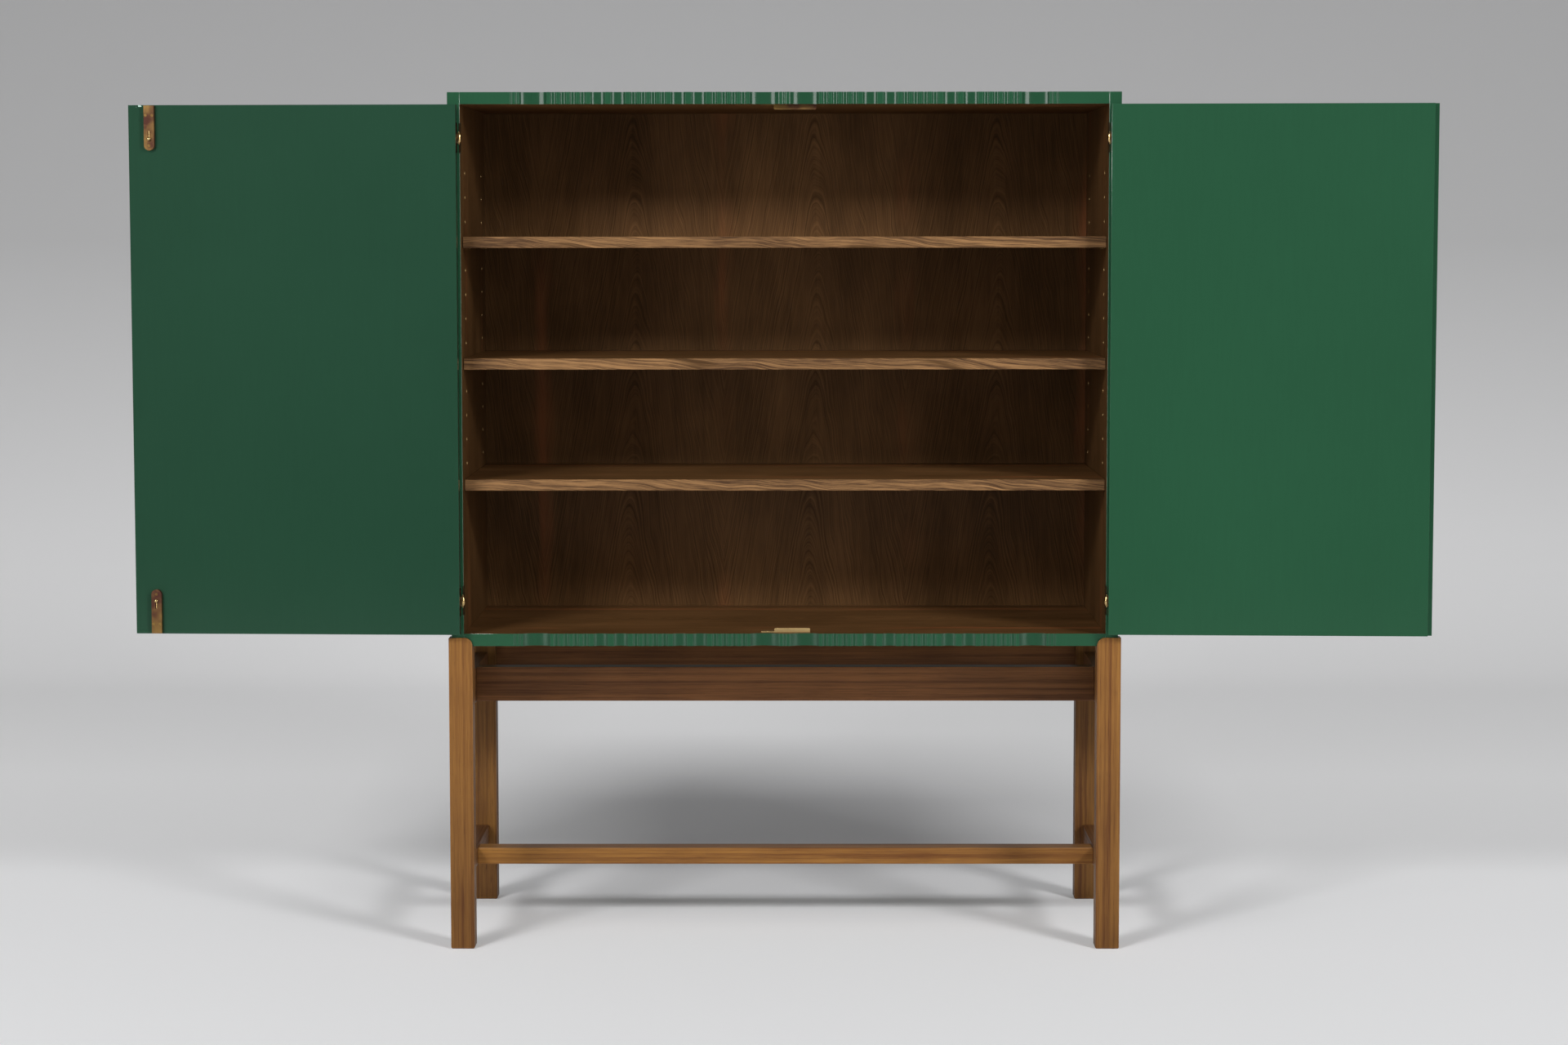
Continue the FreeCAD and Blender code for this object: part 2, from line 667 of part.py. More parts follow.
def hinge(side, level, middle):
    """A hinge's case leaf, door leaf and pin, as closed, and the recesses that the leaves take."""
    name = "%s_%s" % (SIDE_NAMES[side], level)
    low = "%s - leaf_height / 2" % middle
    neck = "knuckle_height / 2 * %s" % NECK_SHARE
    case_plate = side_block(name + "_case_plate", side, "half_open", "half_open + leaf_thickness",
                            "front", "leaf_width", low, "leaf_height")
    door_plate = side_block(name + "_door_plate", side, "door_side - leaf_thickness", "door_side",
                            "front", "leaf_width", low, "leaf_height")
    case_neck = side_block(name + "_case_neck", side, "half_open", "half_open + leaf_thickness",
                           "pin_y", "pin_proud", "%s - %s" % (middle, neck),
                           neck + " - knuckle_gap / 2")
    door_neck = side_block(name + "_door_neck", side, "door_side - leaf_thickness", "door_side",
                           "pin_y", "pin_proud", "%s + knuckle_gap / 2" % middle,
                           neck + " - knuckle_gap / 2")
    pin_spot = (signed(side, "pin_x"), "pin_y", "%s - knuckle_height / 2 + pin_end" % middle)
    pin = rod(name + "_pin", pin_spot, "pin_diameter / 2", "knuckle_height - 2 * pin_end")
    bore = rod(name + "_bore", pin_spot, "pin_diameter / 2 + pin_clearance",
               "knuckle_height - 2 * pin_end + pin_clearance")
    pieces = []
    for kind, plate, neck_block, up, hole in (
            ("case", case_plate, case_neck, False, pin), ("door", door_plate, door_neck, True, bore)):
        label = "%s_%s_leaf" % (name, kind)
        start_x = signed(side, "half_open" if kind == "case" else "door_side")
        toward = (side if kind == "case" else -side, 0, 0)
        screws = [screw("%s_screw_%d" % (label, number),
                        (start_x, "front + hinge_screw_place",
                         "%s + %d * hinge_screw_pitch" % (middle, number - HINGE_SCREWS // 2)),
                        toward) for number in range(HINGE_SCREWS)]
        knuckle = knuckle_half(label + "_knuckle", side, middle, up)
        leaf = cut(label if kind == "case" else label + "_closed",
                   fuse(label + "_solid", [plate, neck_block, knuckle]), [hole] + screws)
        pieces.append((leaf, plate, screws))
    return pieces, pin


def hinges():
    """All hinges. Gives the tools that cut the side panels and the doors, by side."""
    tools = {"case": {-1: [], 1: []}, "door": {-1: [], 1: []}}
    pins, case_screws = [], []
    for side in (-1, 1):
        door_screws = []
        for level, middle in (("lower", "low_hinge"), ("upper", "high_hinge")):
            (case_leaf, door_leaf), pin = hinge(side, level, middle)
            name = "%s_%s" % (SIDE_NAMES[side], level)
            sub_part(case_leaf[0], name + "_case_leaf")
            sub_part(swung(name + "_door_leaf", door_leaf[0], side), name + "_door_leaf")
            tools["case"][side] += [case_leaf[1]] + case_leaf[2]
            tools["door"][side] += [door_leaf[1]] + door_leaf[2]
            pins.append(pin)
            case_screws += case_leaf[2]
            door_screws += door_leaf[2]
        screws_name = "%s_door_hinge_screws" % SIDE_NAMES[side]
        sub_part(swung(screws_name, group(screws_name + "_closed", door_screws), side), screws_name)
    sub_part(group("hinge_pins", pins), "hinge_pins")
    sub_part(group("case_hinge_screws", case_screws), "case_hinge_screws")
    return tools


# Sliding bolts of the left door, worked out from the door's top or bottom end

END_OF_DOOR = {1: "door_high - bolt_end", -1: "door_low + bolt_end"}
BOLT_NAMES = {1: "top", -1: "bottom"}


def span_inward(up, near_end, far_end):
    """Low Z and height of a stretch that runs inward from a door's end."""
    if up > 0:
        return "%s - (%s)" % (END_OF_DOOR[up], far_end), "(%s) - (%s)" % (far_end, near_end)
    return "%s + (%s)" % (END_OF_DOOR[up], near_end), "(%s) - (%s)" % (far_end, near_end)


def point_inward(up, distance):
    return "%s %s (%s)" % (END_OF_DOOR[up], "-" if up > 0 else "+", distance)


def door_bolt(up):
    """A bolt's housing, the bolt with its knob, and the housing's screws, as closed."""
    name = BOLT_NAMES[up]
    knob = "housing_length - knob_place"
    half_width = "housing_width / 2"
    low, height = span_inward(up, "0", "housing_length - " + half_width)
    plain = block(name + "_housing_block", ("bolt_x - " + half_width, "door_back", low),
                  ("housing_width", "housing_proud", height))
    round_end = rod(name + "_housing_end",
                    ("bolt_x", "door_back", point_inward(up, "housing_length - " + half_width)),
                    half_width, "housing_proud", (0, 1, 0))
    low, height = span_inward(up, "0", "housing_length - bolt_tail")
    bar = rod(name + "_bar", ("bolt_x", "bolt_y", low), "bolt_diameter / 2", height)
    low, height = span_inward(up, "0", "housing_length - bolt_tail + bolt_clearance")
    channel = rod(name + "_channel", ("bolt_x", "bolt_y", low),
                  "bolt_diameter / 2 + bolt_clearance", height)
    neck_end = "housing_proud - bolt_axis + knob_lift"
    neck = rod(name + "_neck", ("bolt_x", "bolt_y", point_inward(up, knob)), "knob_neck / 2",
               neck_end, (0, 1, 0))
    grip = rod(name + "_knob", ("bolt_x", "bolt_y + " + neck_end, point_inward(up, knob)),
               "knob_diameter / 2", "knob_height", (0, 1, 0))
    low, height = span_inward(up, knob + " - bolt_travel - knob_neck / 2 - slot_clearance",
                              knob + " + knob_neck / 2 + slot_clearance")
    slot = block(name + "_slot", ("bolt_x - knob_neck / 2 - slot_clearance", "bolt_y", low),
                 ("knob_neck + 2 * slot_clearance", "housing_proud", height))
    spots = (("housing_screw_side", "housing_screw_high"), ("-housing_screw_side", "housing_screw_high"),
             ("0", "housing_length - housing_screw_low"))
    screws = [screw("%s_housing_screw_%d" % (name, number),
                    ("bolt_x + " + aside, "door_back + housing_proud", point_inward(up, inward)),
                    (0, -1, 0)) for number, (aside, inward) in enumerate(spots)]
    housing = cut(name + "_housing_closed", fuse(name + "_housing_solid", [plain, round_end]),
                  [channel, slot] + screws)
    bolt = fuse(name + "_bolt_closed", [bar, neck, grip])
    sub_part(swung(name + "_bolt_housing", housing, -1), name + "_bolt_housing")
    sub_part(swung(name + "_bolt", bolt, -1), name + "_bolt")
    return screws


def bolt_hole(up):
    """The hole in the top or bottom board that takes the bolt."""
    low = "open_roof - stop_thickness" if up > 0 else "open_floor - bolt_hole_depth"
    return rod(BOLT_NAMES[up] + "_bolt_hole", ("bolt_x", "bolt_y", low),
               "bolt_diameter / 2 + bolt_hole_clearance", "bolt_hole_depth + stop_thickness")


def stop(up, hole):
    """A metal stop: a lip behind both doors, and a flange that the left door's bolt enters."""
    name = BOLT_NAMES[up] + "_stop"
    lip_height = "high_lip" if up > 0 else "low_lip"
    right = "high_lip_right" if up > 0 else "low_lip_right"
    face = "door_back + stop_clearance"
    flange_low = "open_roof - stop_thickness" if up > 0 else "open_floor"
    lip_low = "open_roof - " + lip_height if up > 0 else "open_floor"
    flange = block(name + "_flange", ("-strip_left", face, flange_low),
                   ("strip_left + " + right, "stop_depth", "stop_thickness"))
    lip = block(name + "_lip", ("-lip_left", face, lip_low),
                ("lip_left + " + right, "stop_lip_thickness", lip_height))
    free_z = size("open_roof") - size("high_lip") if up > 0 else size("open_floor") + size("low_lip")

    def corner(edge):
        ends = [vertex.Point for vertex in edge.Vertexes]
        along_y = near(ends[0].x, ends[1].x) and near(ends[0].z, ends[1].z)
        return along_y and near(ends[0].z, free_z)

    soft_lip = rounded(name + "_soft_lip", lip, size("stop_lip_radius"), corner)
    start_z = "open_roof - stop_thickness" if up > 0 else "open_floor + stop_thickness"
    screws = [screw("%s_screw_%d" % (name, number),
                    (spot, face + " + stop_screw_depth", start_z), (0, 0, up))
              for number, spot in enumerate(("-lip_left + stop_screw_place",
                                             right + " - stop_screw_place"))]
    sub_part(cut(name, fuse(name + "_solid", [flange, soft_lip]), [hole] + screws), name)
    return screws


# Lock of the right door

def lock():
    """The lock's pieces, as closed, and what they cut from the two doors."""
    half_tall = "lock_tall / 2"
    case = block("lock_body", ("rebate_edge", "lock_front", "lock_height - " + half_tall),
                 ("lock_length", "lock_thickness", "lock_tall"))
    plate_rise = "small_screw_head * 2"
    plate = block("lock_plate", ("rebate_edge", "lock_front",
                                 "lock_height - %s - %s" % (half_tall, plate_rise)),
                  ("lock_wall", "lock_thickness", "lock_tall + 2 * " + plate_rise))
    cavity = block("lock_cavity", ("rebate_edge + lock_wall", "lock_front + lock_wall",
                                   "lock_height - %s + lock_wall" % half_tall),
                   ("lock_length - 2 * lock_wall", "lock_thickness - 2 * lock_wall",
                    "lock_tall - 2 * lock_wall"))
    gap = "lock_bolt_clearance"
    half_bolt = "lock_bolt_tall / 2"
    half_thick = "lock_bolt_thickness / 2"
    window = ("lock_middle - %s - %s" % (half_thick, gap), "lock_height - %s - %s" % (half_bolt, gap))
    window_span = ("lock_bolt_thickness + 2 * " + gap, "lock_bolt_tall + 2 * " + gap)
    way_out = block("lock_way_out", ("rebate_edge", window[0], window[1]),
                    ("lock_wall", window_span[0], window_span[1]))
    way_in = block("strike_way_in", ("rebate_edge - lock_throw - door_gap", window[0], window[1]),
                   ("lip_width - rebate_edge + lock_throw + door_gap", window_span[0],
                    window_span[1]))
    bolt = block("lock_bolt_closed", ("rebate_edge + " + gap, "lock_middle - " + half_thick,
                                      "lock_height - " + half_bolt),
                 ("lock_bolt_length", "lock_bolt_thickness", "lock_bolt_tall"))
    keyhole = rod("keyhole", ("key_x", "front", "lock_height"), "key_diameter / 2 + key_clearance",
                  "door_back - front - lock_skin - lock_wall", (0, 1, 0))
    bit_gap = "key_bit_thickness / 2 + " + gap
    key_slot = block("key_slot", ("key_x - (%s)" % bit_gap, "front",
                                  "lock_height - key_bit - " + gap),
                     ("2 * (%s)" % bit_gap, "lock_front + lock_wall - front", "key_bit + " + gap))
    shank = rod("key_shank", ("key_x", "front - key_reach", "lock_height"), "key_diameter / 2",
                "key_reach + door_back - front - lock_skin - lock_wall - %s" % gap, (0, 1, 0))
    bit = block("key_bit_plate", ("key_x - key_bit_thickness / 2", "lock_front + lock_wall + " + gap,
                                  "lock_height - key_bit"),
                ("key_bit_thickness", "lock_thickness - 2 * lock_wall - 2 * " + gap, "key_bit"))
    ring_middle = "front - key_reach - key_bow / 2 + key_bow_thickness / 2"
    ring_spot = ("key_x - key_bow_thickness / 2", ring_middle, "lock_height")
    ring = cut("key_ring", rod("key_ring_outside", ring_spot, "key_bow / 2", "key_bow_thickness",
                               (1, 0, 0)),
               [rod("key_ring_inside", ring_spot, "key_bow / 2 - key_bow_thickness",
                    "key_bow_thickness", (1, 0, 0))])
    key = fuse("key_closed", [shank, bit, ring])
    screw_rise = "lock_tall / 2 + small_screw_head"
    lock_screws = [screw("lock_screw_%s" % word,
                         ("rebate_edge", "lock_middle", "lock_height %s (%s)" % (sign, screw_rise)),
                         (1, 0, 0), small=True) for word, sign in (("low", "-"), ("high", "+"))]
    strike_low = "door_middle + lip_clearance / 2 + strike_margin"
    strike = block("strike_blank", ("lip_width - strike_thickness", strike_low,
                                    "lock_height - strike_tall / 2"),
                   ("strike_thickness", "door_back - strike_margin - (%s)" % strike_low,
                    "strike_tall"))
    strike_rise = "strike_tall / 2 - small_screw_head"
    strike_screws = [screw("strike_screw_%s" % word,
                           ("lip_width", "lock_middle", "lock_height %s (%s)" % (sign, strike_rise)),
                           (-1, 0, 0), small=True) for word, sign in (("low", "-"), ("high", "+"))]
    case_solid = fuse("lock_case_solid", [case, plate])
    lock_case = cut("lock_case_closed", case_solid, [cavity, way_out, keyhole, key_slot] + lock_screws)
    strike_plate = cut("strike_plate_closed", strike, [way_in] + strike_screws)
    for name, piece, side in (
            ("lock_case", lock_case, 1), ("lock_bolt", bolt, 1), ("key", key, 1),
            ("lock_screws", group("lock_screws_closed", lock_screws), 1),
            ("strike_plate", strike_plate, -1),
            ("strike_screws", group("strike_screws_closed", strike_screws), -1)):
        sub_part(swung(name, piece, side), name)
    return [case_solid, keyhole, key_slot] + lock_screws, [strike, way_in] + strike_screws


# Doors

def door(side, spans, tools):
    """A fluted door from its stretches across the opening: low X, width, low Y and depth."""
    name = SIDE_NAMES[side] + "_door"
    blank = raised(name + "_full", door_plan, "door_low", "door_high - door_low")
    strips = [block("%s_stretch_%d" % (name, number), (low_x, low_y, "door_low"),
                    (width, depth, "door_high - door_low"))
              for number, (low_x, width, low_y, depth) in enumerate(spans)]
    common = doc.addObject("Part::Common", name + "_blank")
    common.Base = blank
    common.Tool = fuse(name + "_stretches", strips)
    closed = cut(name + "_closed", common, tools)
    sub_part(swung(name, closed, side), name)


def doors(hinge_tools, bolt_screws, lock_tools, strike_tools):
    half_clearance = "lip_clearance / 2"
    left = [("-door_side", "door_side - meeting", "front", "door_thickness"),
            ("-meeting", "meeting + lip_width", "door_middle + " + half_clearance,
             "door_thickness / 2 - " + half_clearance)]
    right = [("rebate_edge", "door_side - rebate_edge", "front", "door_thickness"),
             ("meeting", "rebate_edge - meeting", "front", "door_thickness / 2 - " + half_clearance)]
    door(-1, left, hinge_tools[-1] + bolt_screws + strike_tools)
    door(1, right, hinge_tools[1] + lock_tools)


# Shelves and what carries them

def pin_columns(side):
    """Where the front and the rear column of holes stand, front to back."""
    return (("%s_front" % SIDE_NAMES[side], "front_pins"), ("%s_rear" % SIDE_NAMES[side], "rear_pins"))


def sleeves():
    """Brass sleeves for the shelf pins. Gives the holes that they need, by side."""
    holes = {-1: [], 1: []}
    bores = []
    for side in (-1, 1):
        toward = (side, 0, 0)
        for column, place in pin_columns(side):
            for number in range(HOLES_IN_COLUMN):
                steps = HOLES_ABOVE_TOP_SHELF - number
                start = (signed(side, "half_open"), place,
                         "top_shelf + stem_rise + hole_pitch * %d" % steps)
                name = "%s_%d" % (column, number)
                holes[side].append(peg("sleeve_%s" % name, start, "sleeve_diameter / 2",
                                       "sleeve_length", toward))
                bores.append(peg("sleeve_bore_%s" % name, start,
                                 "stem_diameter / 2 + pin_clearance", "sleeve_length", toward))
    sub_part(cut("pin_sleeves", group("sleeve_blanks", holes[-1] + holes[1]), bores), "pin_sleeves")
    return holes


def shelf_pin(name, side, place, underside):
    plate_low = underside + " - tab_thickness"
    plate = side_block(name + "_plate", side, "half_open - pin_plate", "half_open",
                       place + " - pin_plate_width / 2", "pin_plate_width", plate_low,
                       "tab_thickness + pin_plate_rise")
    tab = side_block(name + "_tab", side, "half_open - tab_length", "half_open",
                     place + " - pin_plate_width / 2", "pin_plate_width", plate_low,
                     "tab_thickness")
    stem = peg(name + "_stem", (signed(side, "half_open - pin_plate"), place,
                                underside + " + stem_rise"), "stem_diameter / 2",
               "stem_length + pin_plate", (side, 0, 0))
    return fuse(name, [plate, tab, stem])


def shelf(name, underside):
    """A shelf with eased front edges, padded upwards from its underside."""
    body = doc.addObject("PartDesign::Body", name)
    sketch = body.newObject("Sketcher::SketchObject", name + "_outline")
    plane = [item for item in body.Origin.OriginFeatures if item.Role == "XY_Plane"][0]
    sketch.AttachmentSupport = (plane, [""])
    sketch.MapMode = "FlatFace"
    wide, deep = "2 * shelf_half", "back_front - shelf_back_gap - shelf_front"
    far_x = 2 * size("shelf_half")
    far_y = size("back_front") - size("shelf_back_gap") - size("shelf_front")
    outline(sketch, ((0, 0), (far_x, 0), (far_x, far_y), (0, far_y)),
            (("0", "0"), (wide, "0"), (wide, deep), ("0", deep)))
    pad = body.newObject("PartDesign::Pad", name + "_board")
    pad.Profile = sketch
    pad.setExpression("Length", linked("shelf_thickness"))
    doc.recompute()
    front_edges = ["Edge%d" % number for number, edge in enumerate(pad.Shape.Edges, start=1)
                   if near(edge.BoundBox.YMax, 0) and near(edge.BoundBox.ZLength, 0)]
    eased = body.newObject("PartDesign::Fillet", name + "_eased")
    eased.Base = (pad, front_edges)
    eased.setExpression("Radius", linked("shelf_easing"))
    body.Tip = eased
    place_at(body, ("-shelf_half", "shelf_front", underside))
    return sub_part(body, name)


SHELF_NAMES = ("top_shelf_board", "middle_shelf_board", "bottom_shelf_board")


def shelves():
    pins = []
    for number in range(SHELVES):
        underside = "top_shelf - %d * shelf_step" % number
        shelf(SHELF_NAMES[number], underside)
        for side in (-1, 1):
            for column, place in pin_columns(side):
                pins.append(shelf_pin("pin_%s_%d" % (column, number), side, place, underside))
    sub_part(group("shelf_pins", pins), "shelf_pins")


def build():
    all_dowels = stand()
    hinge_tools = hinges()
    holes = sleeves()
    shelves()
    bolt_screws = door_bolt(1) + door_bolt(-1)
    bolt_group = group("bolt_screws_closed", bolt_screws)
    sub_part(swung("bolt_screws", bolt_group, -1), "bolt_screws")
    top_hole, bottom_hole = bolt_hole(1), bolt_hole(-1)
    top_screws, bottom_screws = stop(1, top_hole), stop(-1, bottom_hole)
    sub_part(group("stop_screws", top_screws + bottom_screws), "stop_screws")
    lock_tools, strike_tools = lock()
    doors(hinge_tools["door"], bolt_screws, lock_tools, strike_tools)
    panel = sub_part(back_panel(), "back_panel")
    top_tongue = board_tongue("top_tongue", "open_roof", "top_thickness")
    bottom_tongue = board_tongue("bottom_tongue", "case_floor", "bottom_thickness")
    sub_part(board("case_top", "open_roof", "top_thickness", top_tongue,
                   [panel, top_hole] + top_screws), "case_top")
    sub_part(board("case_bottom", "case_floor", "bottom_thickness", bottom_tongue,
                   [panel, bottom_hole] + bottom_screws), "case_bottom")
    for side in (-1, 1):
        name = "case_%s_side" % SIDE_NAMES[side]
        tools = [panel, top_tongue, bottom_tongue] + all_dowels
        sub_part(side_panel(name, side, tools + hinge_tools["case"][side] + holes[side]), name)


def check_and_write():
    doc.recompute()
    failed = [item.Name for item in doc.Objects
              if "Invalid" in item.State or "Error" in item.State]
    if failed:
        raise RuntimeError("failed objects: " + ", ".join(failed))
    for piece in SUB_PARTS:
        if piece.Shape.isNull() or not piece.Shape.isValid() or not piece.Shape.Solids:
            raise RuntimeError("bad shape: " + piece.Label)
    os.makedirs("parts", exist_ok=True)
    for piece in SUB_PARTS:
        piece.Shape.exportStep("parts/%s.step" % piece.Label)
        print(piece.Label, len(piece.Shape.Solids), round(piece.Shape.Volume))


build()
check_and_write()
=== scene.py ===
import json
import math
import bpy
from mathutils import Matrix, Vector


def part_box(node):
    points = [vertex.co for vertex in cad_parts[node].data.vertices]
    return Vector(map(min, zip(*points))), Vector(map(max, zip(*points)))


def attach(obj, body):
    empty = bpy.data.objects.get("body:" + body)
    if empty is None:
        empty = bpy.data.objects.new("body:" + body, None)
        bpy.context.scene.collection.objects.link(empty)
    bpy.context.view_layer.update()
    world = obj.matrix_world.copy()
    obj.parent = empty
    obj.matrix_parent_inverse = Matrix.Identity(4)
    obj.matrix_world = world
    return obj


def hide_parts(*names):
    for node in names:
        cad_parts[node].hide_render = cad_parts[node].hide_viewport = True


bl_info = {
    "name": "Fluted cabinet on a stand",
    "version": (1, 0, 0),
    "blender": (4, 5, 0),
    "location": "View3D > Sidebar > Cabinet",
    "description": "Dresses a two-door cabinet with lacquer, veneer, solid wood and brass fittings",
    "category": "Add Mesh",
}

import bmesh
import bpy
from bpy.props import FloatProperty, FloatVectorProperty, IntProperty, PointerProperty
from mathutils import Matrix, Vector

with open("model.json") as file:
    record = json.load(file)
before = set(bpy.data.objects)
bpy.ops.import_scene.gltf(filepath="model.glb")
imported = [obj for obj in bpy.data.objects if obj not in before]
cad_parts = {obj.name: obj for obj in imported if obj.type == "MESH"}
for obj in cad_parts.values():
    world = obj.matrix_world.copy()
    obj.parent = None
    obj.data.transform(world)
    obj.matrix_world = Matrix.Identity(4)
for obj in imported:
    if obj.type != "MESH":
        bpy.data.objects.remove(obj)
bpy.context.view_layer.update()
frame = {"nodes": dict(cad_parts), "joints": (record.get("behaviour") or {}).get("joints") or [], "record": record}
JOINTS = {joint["name"]: joint for joint in frame["joints"]}
BODY_OF = {node: body for body, nodes in frame["record"]["behaviour"]["bodies"].items()
           for node in nodes}
SIDES = ("left", "right")
ENDS = ("front", "rear")
SHELVES = ("top", "middle", "bottom")
LEVELS = ("lower", "upper")
UP = Vector((0, 0, 1))

# The photograph's camera: its frame and focal length in pixels, its place and its turn in degrees
PHOTO_WIDTH = 1920
FOCAL_PIXELS = 4150
SENSOR = 36.0
CAMERA_PLACE = (0.0234, -6.207, 1.262)
CAMERA_DOWN = 4.787
CAMERA_ASIDE = -0.235
CAMERA_ROLL = -0.043

# Points nearer than this are one, in a CAD node's copy and in a turned or cut shape
TOUCH = 0.000004
FINE_TOUCH = 0.000001

# Angles in degrees: triangles that turn less are one flat face, edges that turn more are eased, and
# shading has a crease past the last
FLAT_ANGLE = 1.0
EASED_ANGLE = 32
CREASE_ANGLE = 20.5

# Steps of an eased edge, the mean width from which a face is broad, and how much of a face's normal
# lies along an axis that it faces
EASED_STEPS = 2
BROAD_WIDTH = 0.012
FACING = 0.9

# Edges shorter than these stay sharp, on fluted boards and on small fittings
BOARD_SHORTEST = 0.012
PIN_SHORTEST = 0.002
FITTING_SHORTEST = 0.0015
STRIKE_SHORTEST = 0.001

# Painted shade in the flutes: lacquer is darkest at the first depth behind the front, and the flutes end before
# the second
FLUTE_DARKEST = 0.0027
FLUTE_LIMIT = 0.0095

# Chips of the lacquer: in from the right door's lower free corner, in from the left door's upper
# one, and behind the middle of the top bolt's housing
RIGHT_CHIP_IN = 0.003
LEFT_CHIPS_IN = (0.014, 0.020)
LEFT_CHIP_BACK = 0.002


# Sizes and colours that a user would change

def colour(name, description, red, green, blue):
    return FloatVectorProperty(name=name, description=description, subtype="COLOR", size=3,
                               min=0, max=1, default=(red, green, blue))


def length(name, description, metres):
    return FloatProperty(name=name, description=description, default=metres, min=0,
                         subtype="DISTANCE", unit="LENGTH")


def number(name, description, default, unit="NONE"):
    return FloatProperty(name=name, description=description, default=default, min=0, unit=unit)


class CabinetColours(bpy.types.PropertyGroup):
    lacquer: colour("Lacquer", "Satin lacquer of the right door and the case",
                    0.016, 0.0725, 0.0345)
    # The left door's lacquer is the right door's made darker as painted shade, and cooler in hue
    lacquer_left_shaded: colour("Lacquer, left", "Satin lacquer of the left door", 0.0128, 0.049, 0.0265)
    primer: colour("Primer", "Pale ground that shows where the lacquer has chipped",
                   0.42, 0.6, 0.52)
    veneer_dark: colour("Veneer, dark", "Dark bands of the veneer", 0.06, 0.028, 0.0085)
    veneer_light: colour("Veneer, light", "Light bands of the veneer", 0.17, 0.082, 0.03)
    veneer_flame: colour("Veneer, flame", "Reddish streaks of the veneer", 0.27, 0.085, 0.03)
    edge_dark: colour("Edge, dark", "Dark grain of the shelf edges", 0.06, 0.029, 0.013)
    edge_light: colour("Edge, light", "Light grain of the shelf edges", 0.31, 0.165, 0.068)
    stand_dark: colour("Stand, dark", "Dark grain of the legs and the low middle stretcher",
                       0.11, 0.038, 0.011)
    stand_light: colour("Stand, light", "Light grain of the legs and the low middle stretcher",
                        0.28, 0.13, 0.031)
    # Painted shade: the other rails take the stand's wood in darker tones, for the shade under the case
    rail_dark: colour("Rails, dark", "Dark grain of the other rails", 0.075, 0.028, 0.010)
    rail_light: colour("Rails, light", "Light grain of the other rails", 0.20, 0.082, 0.027)
    brass: colour("Brass", "Aged brass where it is rubbed", 0.24, 0.15, 0.045)
    polished: colour("Polished brass", "Brass of the knobs, knuckles and key", 0.62, 0.44, 0.2)
    patina: colour("Patina", "Brown patina of the brass and steel", 0.09, 0.038, 0.028)
    # Painted shade: the hinge leaves are darkened for the shade in the gap between door and case
    leaf: colour("Hinge leaves", "Darkened leaves of the hinges", 0.05, 0.036, 0.02)
    steel: colour("Steel", "Steel of the lock and its screws", 0.35, 0.3, 0.24)


class FittingSizes(bpy.types.PropertyGroup):
    edge: length("Eased edge", "Width of the eased edges of boards and doors", 0.0007)
    leg_edge: length("Leg edge", "Width of the eased edges of the legs", 0.0016)
    fitting_edge: length("Fitting edge", "Width of the eased edges of small fittings", 0.0003)
    housing_edge: length("Housing edge", "Width of the eased edges of the bolts' housings", 0.0006)
    strike_edge: length("Strike edge", "Width of the eased edges of the strike plate", 0.0002)
    screw_radius: length("Screw head", "Radius of a hinge screw's head", 0.0028)
    small_screw_radius: length("Small screw head", "Radius of a bolt screw's head", 0.0024)
    screw_slot: length("Screw slot", "Width of a screw's slot", 0.0008)
    knuckle_radius: length("Knuckle", "Radius of an olive knuckle at its widest", 0.005)
    knuckle_half: length("Knuckle half", "Height of half an olive knuckle", 0.010)
    tip_radius: length("Knuckle tip", "Radius of the ball at each end of a knuckle", 0.0013)
    knob_radius: length("Knob", "Radius of a bolt's knob", 0.003)
    sleeve_radius: length("Sleeve", "Outside radius of a shelf-pin sleeve", 0.0036)
    sleeve_bore: length("Sleeve bore", "Inside radius of a shelf-pin sleeve", 0.0026)
    key_bow: length("Key ring", "Outside radius of the key's ring", 0.011)
    turns: IntProperty(name="Round steps", description="Steps round a turned fitting",
                       default=32, min=12, max=96)


class StageSettings(bpy.types.PropertyGroup):
    floor_light: colour("Floor, near", "Floor round the cabinet", 0.87, 0.87, 0.885)
    floor_dark: colour("Floor, in front", "Floor before the part that the camera sees",
                       0.2, 0.2, 0.2)
    # Painted shade: the backdrop darkens towards its top
    wall_shaded: colour("Backdrop, high", "Backdrop at its highest", 0.32, 0.32, 0.325)
    world: number("World", "Strength of the even light", 0.11)
    lift: number("Lift", "Brightness added to the floor and backdrop as the camera sees them",
                 1.0)
    left_lamp: number("Left lamp", "Power of the left lamp", 172, "POWER")
    right_lamp: number("Right lamp", "Power of the right lamp", 184, "POWER")
    side_lamps: number("Side lamps", "Power of each side lamp", 95, "POWER")


# Shader maths

class Socket:
    """A node's output that adds a Math node for each operator."""

    def __init__(self, net, link):
        self.net = net
        self.link = link

    def maths(self, operation, *values):
        return self.net.node("ShaderNodeMath", {"operation": operation}, dict(enumerate(values)))

    def __add__(self, other):
        return self.maths("ADD", self, other)

    __radd__ = __add__

    def __sub__(self, other):
        return self.maths("SUBTRACT", self, other)

    def __rsub__(self, other):
        return self.maths("SUBTRACT", other, self)

    def __mul__(self, other):
        return self.maths("MULTIPLY", self, other)

    __rmul__ = __mul__

    def __truediv__(self, other):
        return self.maths("DIVIDE", self, other)

    def __pow__(self, other):
        return self.maths("POWER", self, other)

    def __abs__(self):
        return self.maths("ABSOLUTE", self)

    def above(self, limit, softness):
        """0 under a limit, rising to 1 over a span."""
        return self.net.node("ShaderNodeMapRange", {"clamp": True},
                             {0: self, 1: limit, 2: limit + softness})

    def within(self, width):
        """The distance along a saw-toothed line of that width, from -width / 2 to width / 2."""
        return self.maths("WRAP", self, width / 2, -width / 2)


